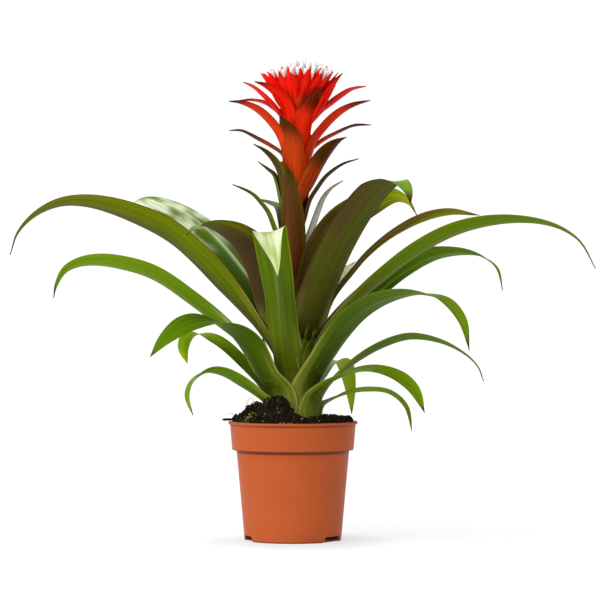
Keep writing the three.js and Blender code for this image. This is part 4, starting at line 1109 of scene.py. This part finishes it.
def add_thread(sheet, start, middle, end, thickness, what, rows=18, sides=6):
    t = np.linspace(0, 1, rows)[:, None]
    line = bend(*np.array([start, middle, end], float), t)
    along = np.gradient(line, axis=0)
    along /= np.linalg.norm(along, axis=1)[:, None]
    side = np.cross(along, (0.3, 1.0, 0.2))
    side /= np.linalg.norm(side, axis=1)[:, None]
    up = np.cross(side, along)
    angles = (2 * np.pi * np.arange(sides) / sides)[:, None]
    girth = thickness / 2 * (1 - 0.5 * t)[:, :, None]
    rings = line[:, None] + girth * (side[:, None] * np.cos(angles)
                                     + up[:, None] * np.sin(angles))
    last = rows * sides - 1
    faces = grid_faces(rows, sides, closed=True, flip=True)
    faces += [tuple(range(sides)), tuple(range(last, last - sides, -1))]
    sheet.add(rings.reshape(-1, 3), faces, crumb=(ODD, what, 0))


def add_bit(sheet, draw, place, size, what):
    bit, faces = rough_pebble(draw, 1)
    sheet.add(bit / np.abs(bit).max(0) * size / 2 + place, faces, crumb=(ODD, what, 0))


def add_crumbs(sheet, draw, count, spot, size, lift, own, kind=PEAT):
    """Crumbs on the mix. The functions draw each one's place, size, lift and own tone."""
    for _ in range(count):
        angle, radius = spot()
        x, y = radius * math.cos(angle), radius * math.sin(angle)
        measure = size()
        crumb, faces = rough_pebble(draw, measure)
        z = float(soil_height(x, y)) + lift(measure)
        sheet.add(crumb + [x, y, z], faces, crumb=(kind, own(), 0))


def make_soil():
    sheet = Sheet()
    rng = np.random.default_rng(5)
    sides = 160
    rings = [ring(radius, height, sides) for radius, height in SOIL_SIDE]
    for radius in np.arange(56, 27, -1.0):
        x, y, _ = ring(radius, 0, sides).T
        rough = rng.normal(0, SOIL_ROUGHNESS, sides)
        rings.append(ring(radius, soil_height(x, y) + rough - 0.4, sides))
    rings += [ring(radius, height, sides) for radius, height in SOIL_HOLE]
    add_rings(sheet, SOIL_SIDE[0][1], rings, SOIL_HOLE[-1][1], crumb=(0, 0.2, 0))

    draw = random.Random(41)
    add_crumbs(sheet, draw, 1500,
               lambda: (draw.uniform(0, math.tau), math.sqrt(draw.uniform(27.5**2, 56.5**2))),
               lambda: 0.5 + 1.5 * draw.random() ** 3,
               lambda size: draw.uniform(-0.3, 0.6) * size, draw.random)
    # The heap in front of the crown is coarser, and so is the right side.
    add_crumbs(sheet, draw, 150, lambda: (math.radians(draw.gauss(253, 12)), draw.gauss(36, 5)),
               lambda: draw.uniform(0.9, 2.2), lambda size: draw.uniform(-0.4, 0.5) * size,
               lambda: 0.35 * draw.random())
    add_crumbs(sheet, draw, 80,
               lambda: (math.radians(draw.gauss(325, 14)), draw.uniform(38, 54)),
               lambda: draw.uniform(0.7, 1.8), lambda size: draw.uniform(0, 0.8) * size,
               lambda: 0.5 * draw.random())
    # Specks of moss, and some chips.
    add_crumbs(sheet, draw, 130, lambda: (draw.uniform(0, math.tau), draw.uniform(36, 55)),
               lambda: draw.uniform(0.35, 0.8), lambda size: 0.6,
               lambda: draw.choice((MOSS, MOSS, MOSS, MOSS, CHIP)), ODD)
    for thread in THREADS:
        add_thread(sheet, *thread)
    for bit in BITS:
        add_bit(sheet, draw, *bit)
    add_bit(sheet, random.Random(3), *BARK)
    hold(sheet.build("potting_mix", soil_finish()), "potting_mix", "soil")


make_camera()
make_studio()
make_floor()
make_pot()
make_soil()
make_stalk()
make_head()
make_florets()
make_leaves()
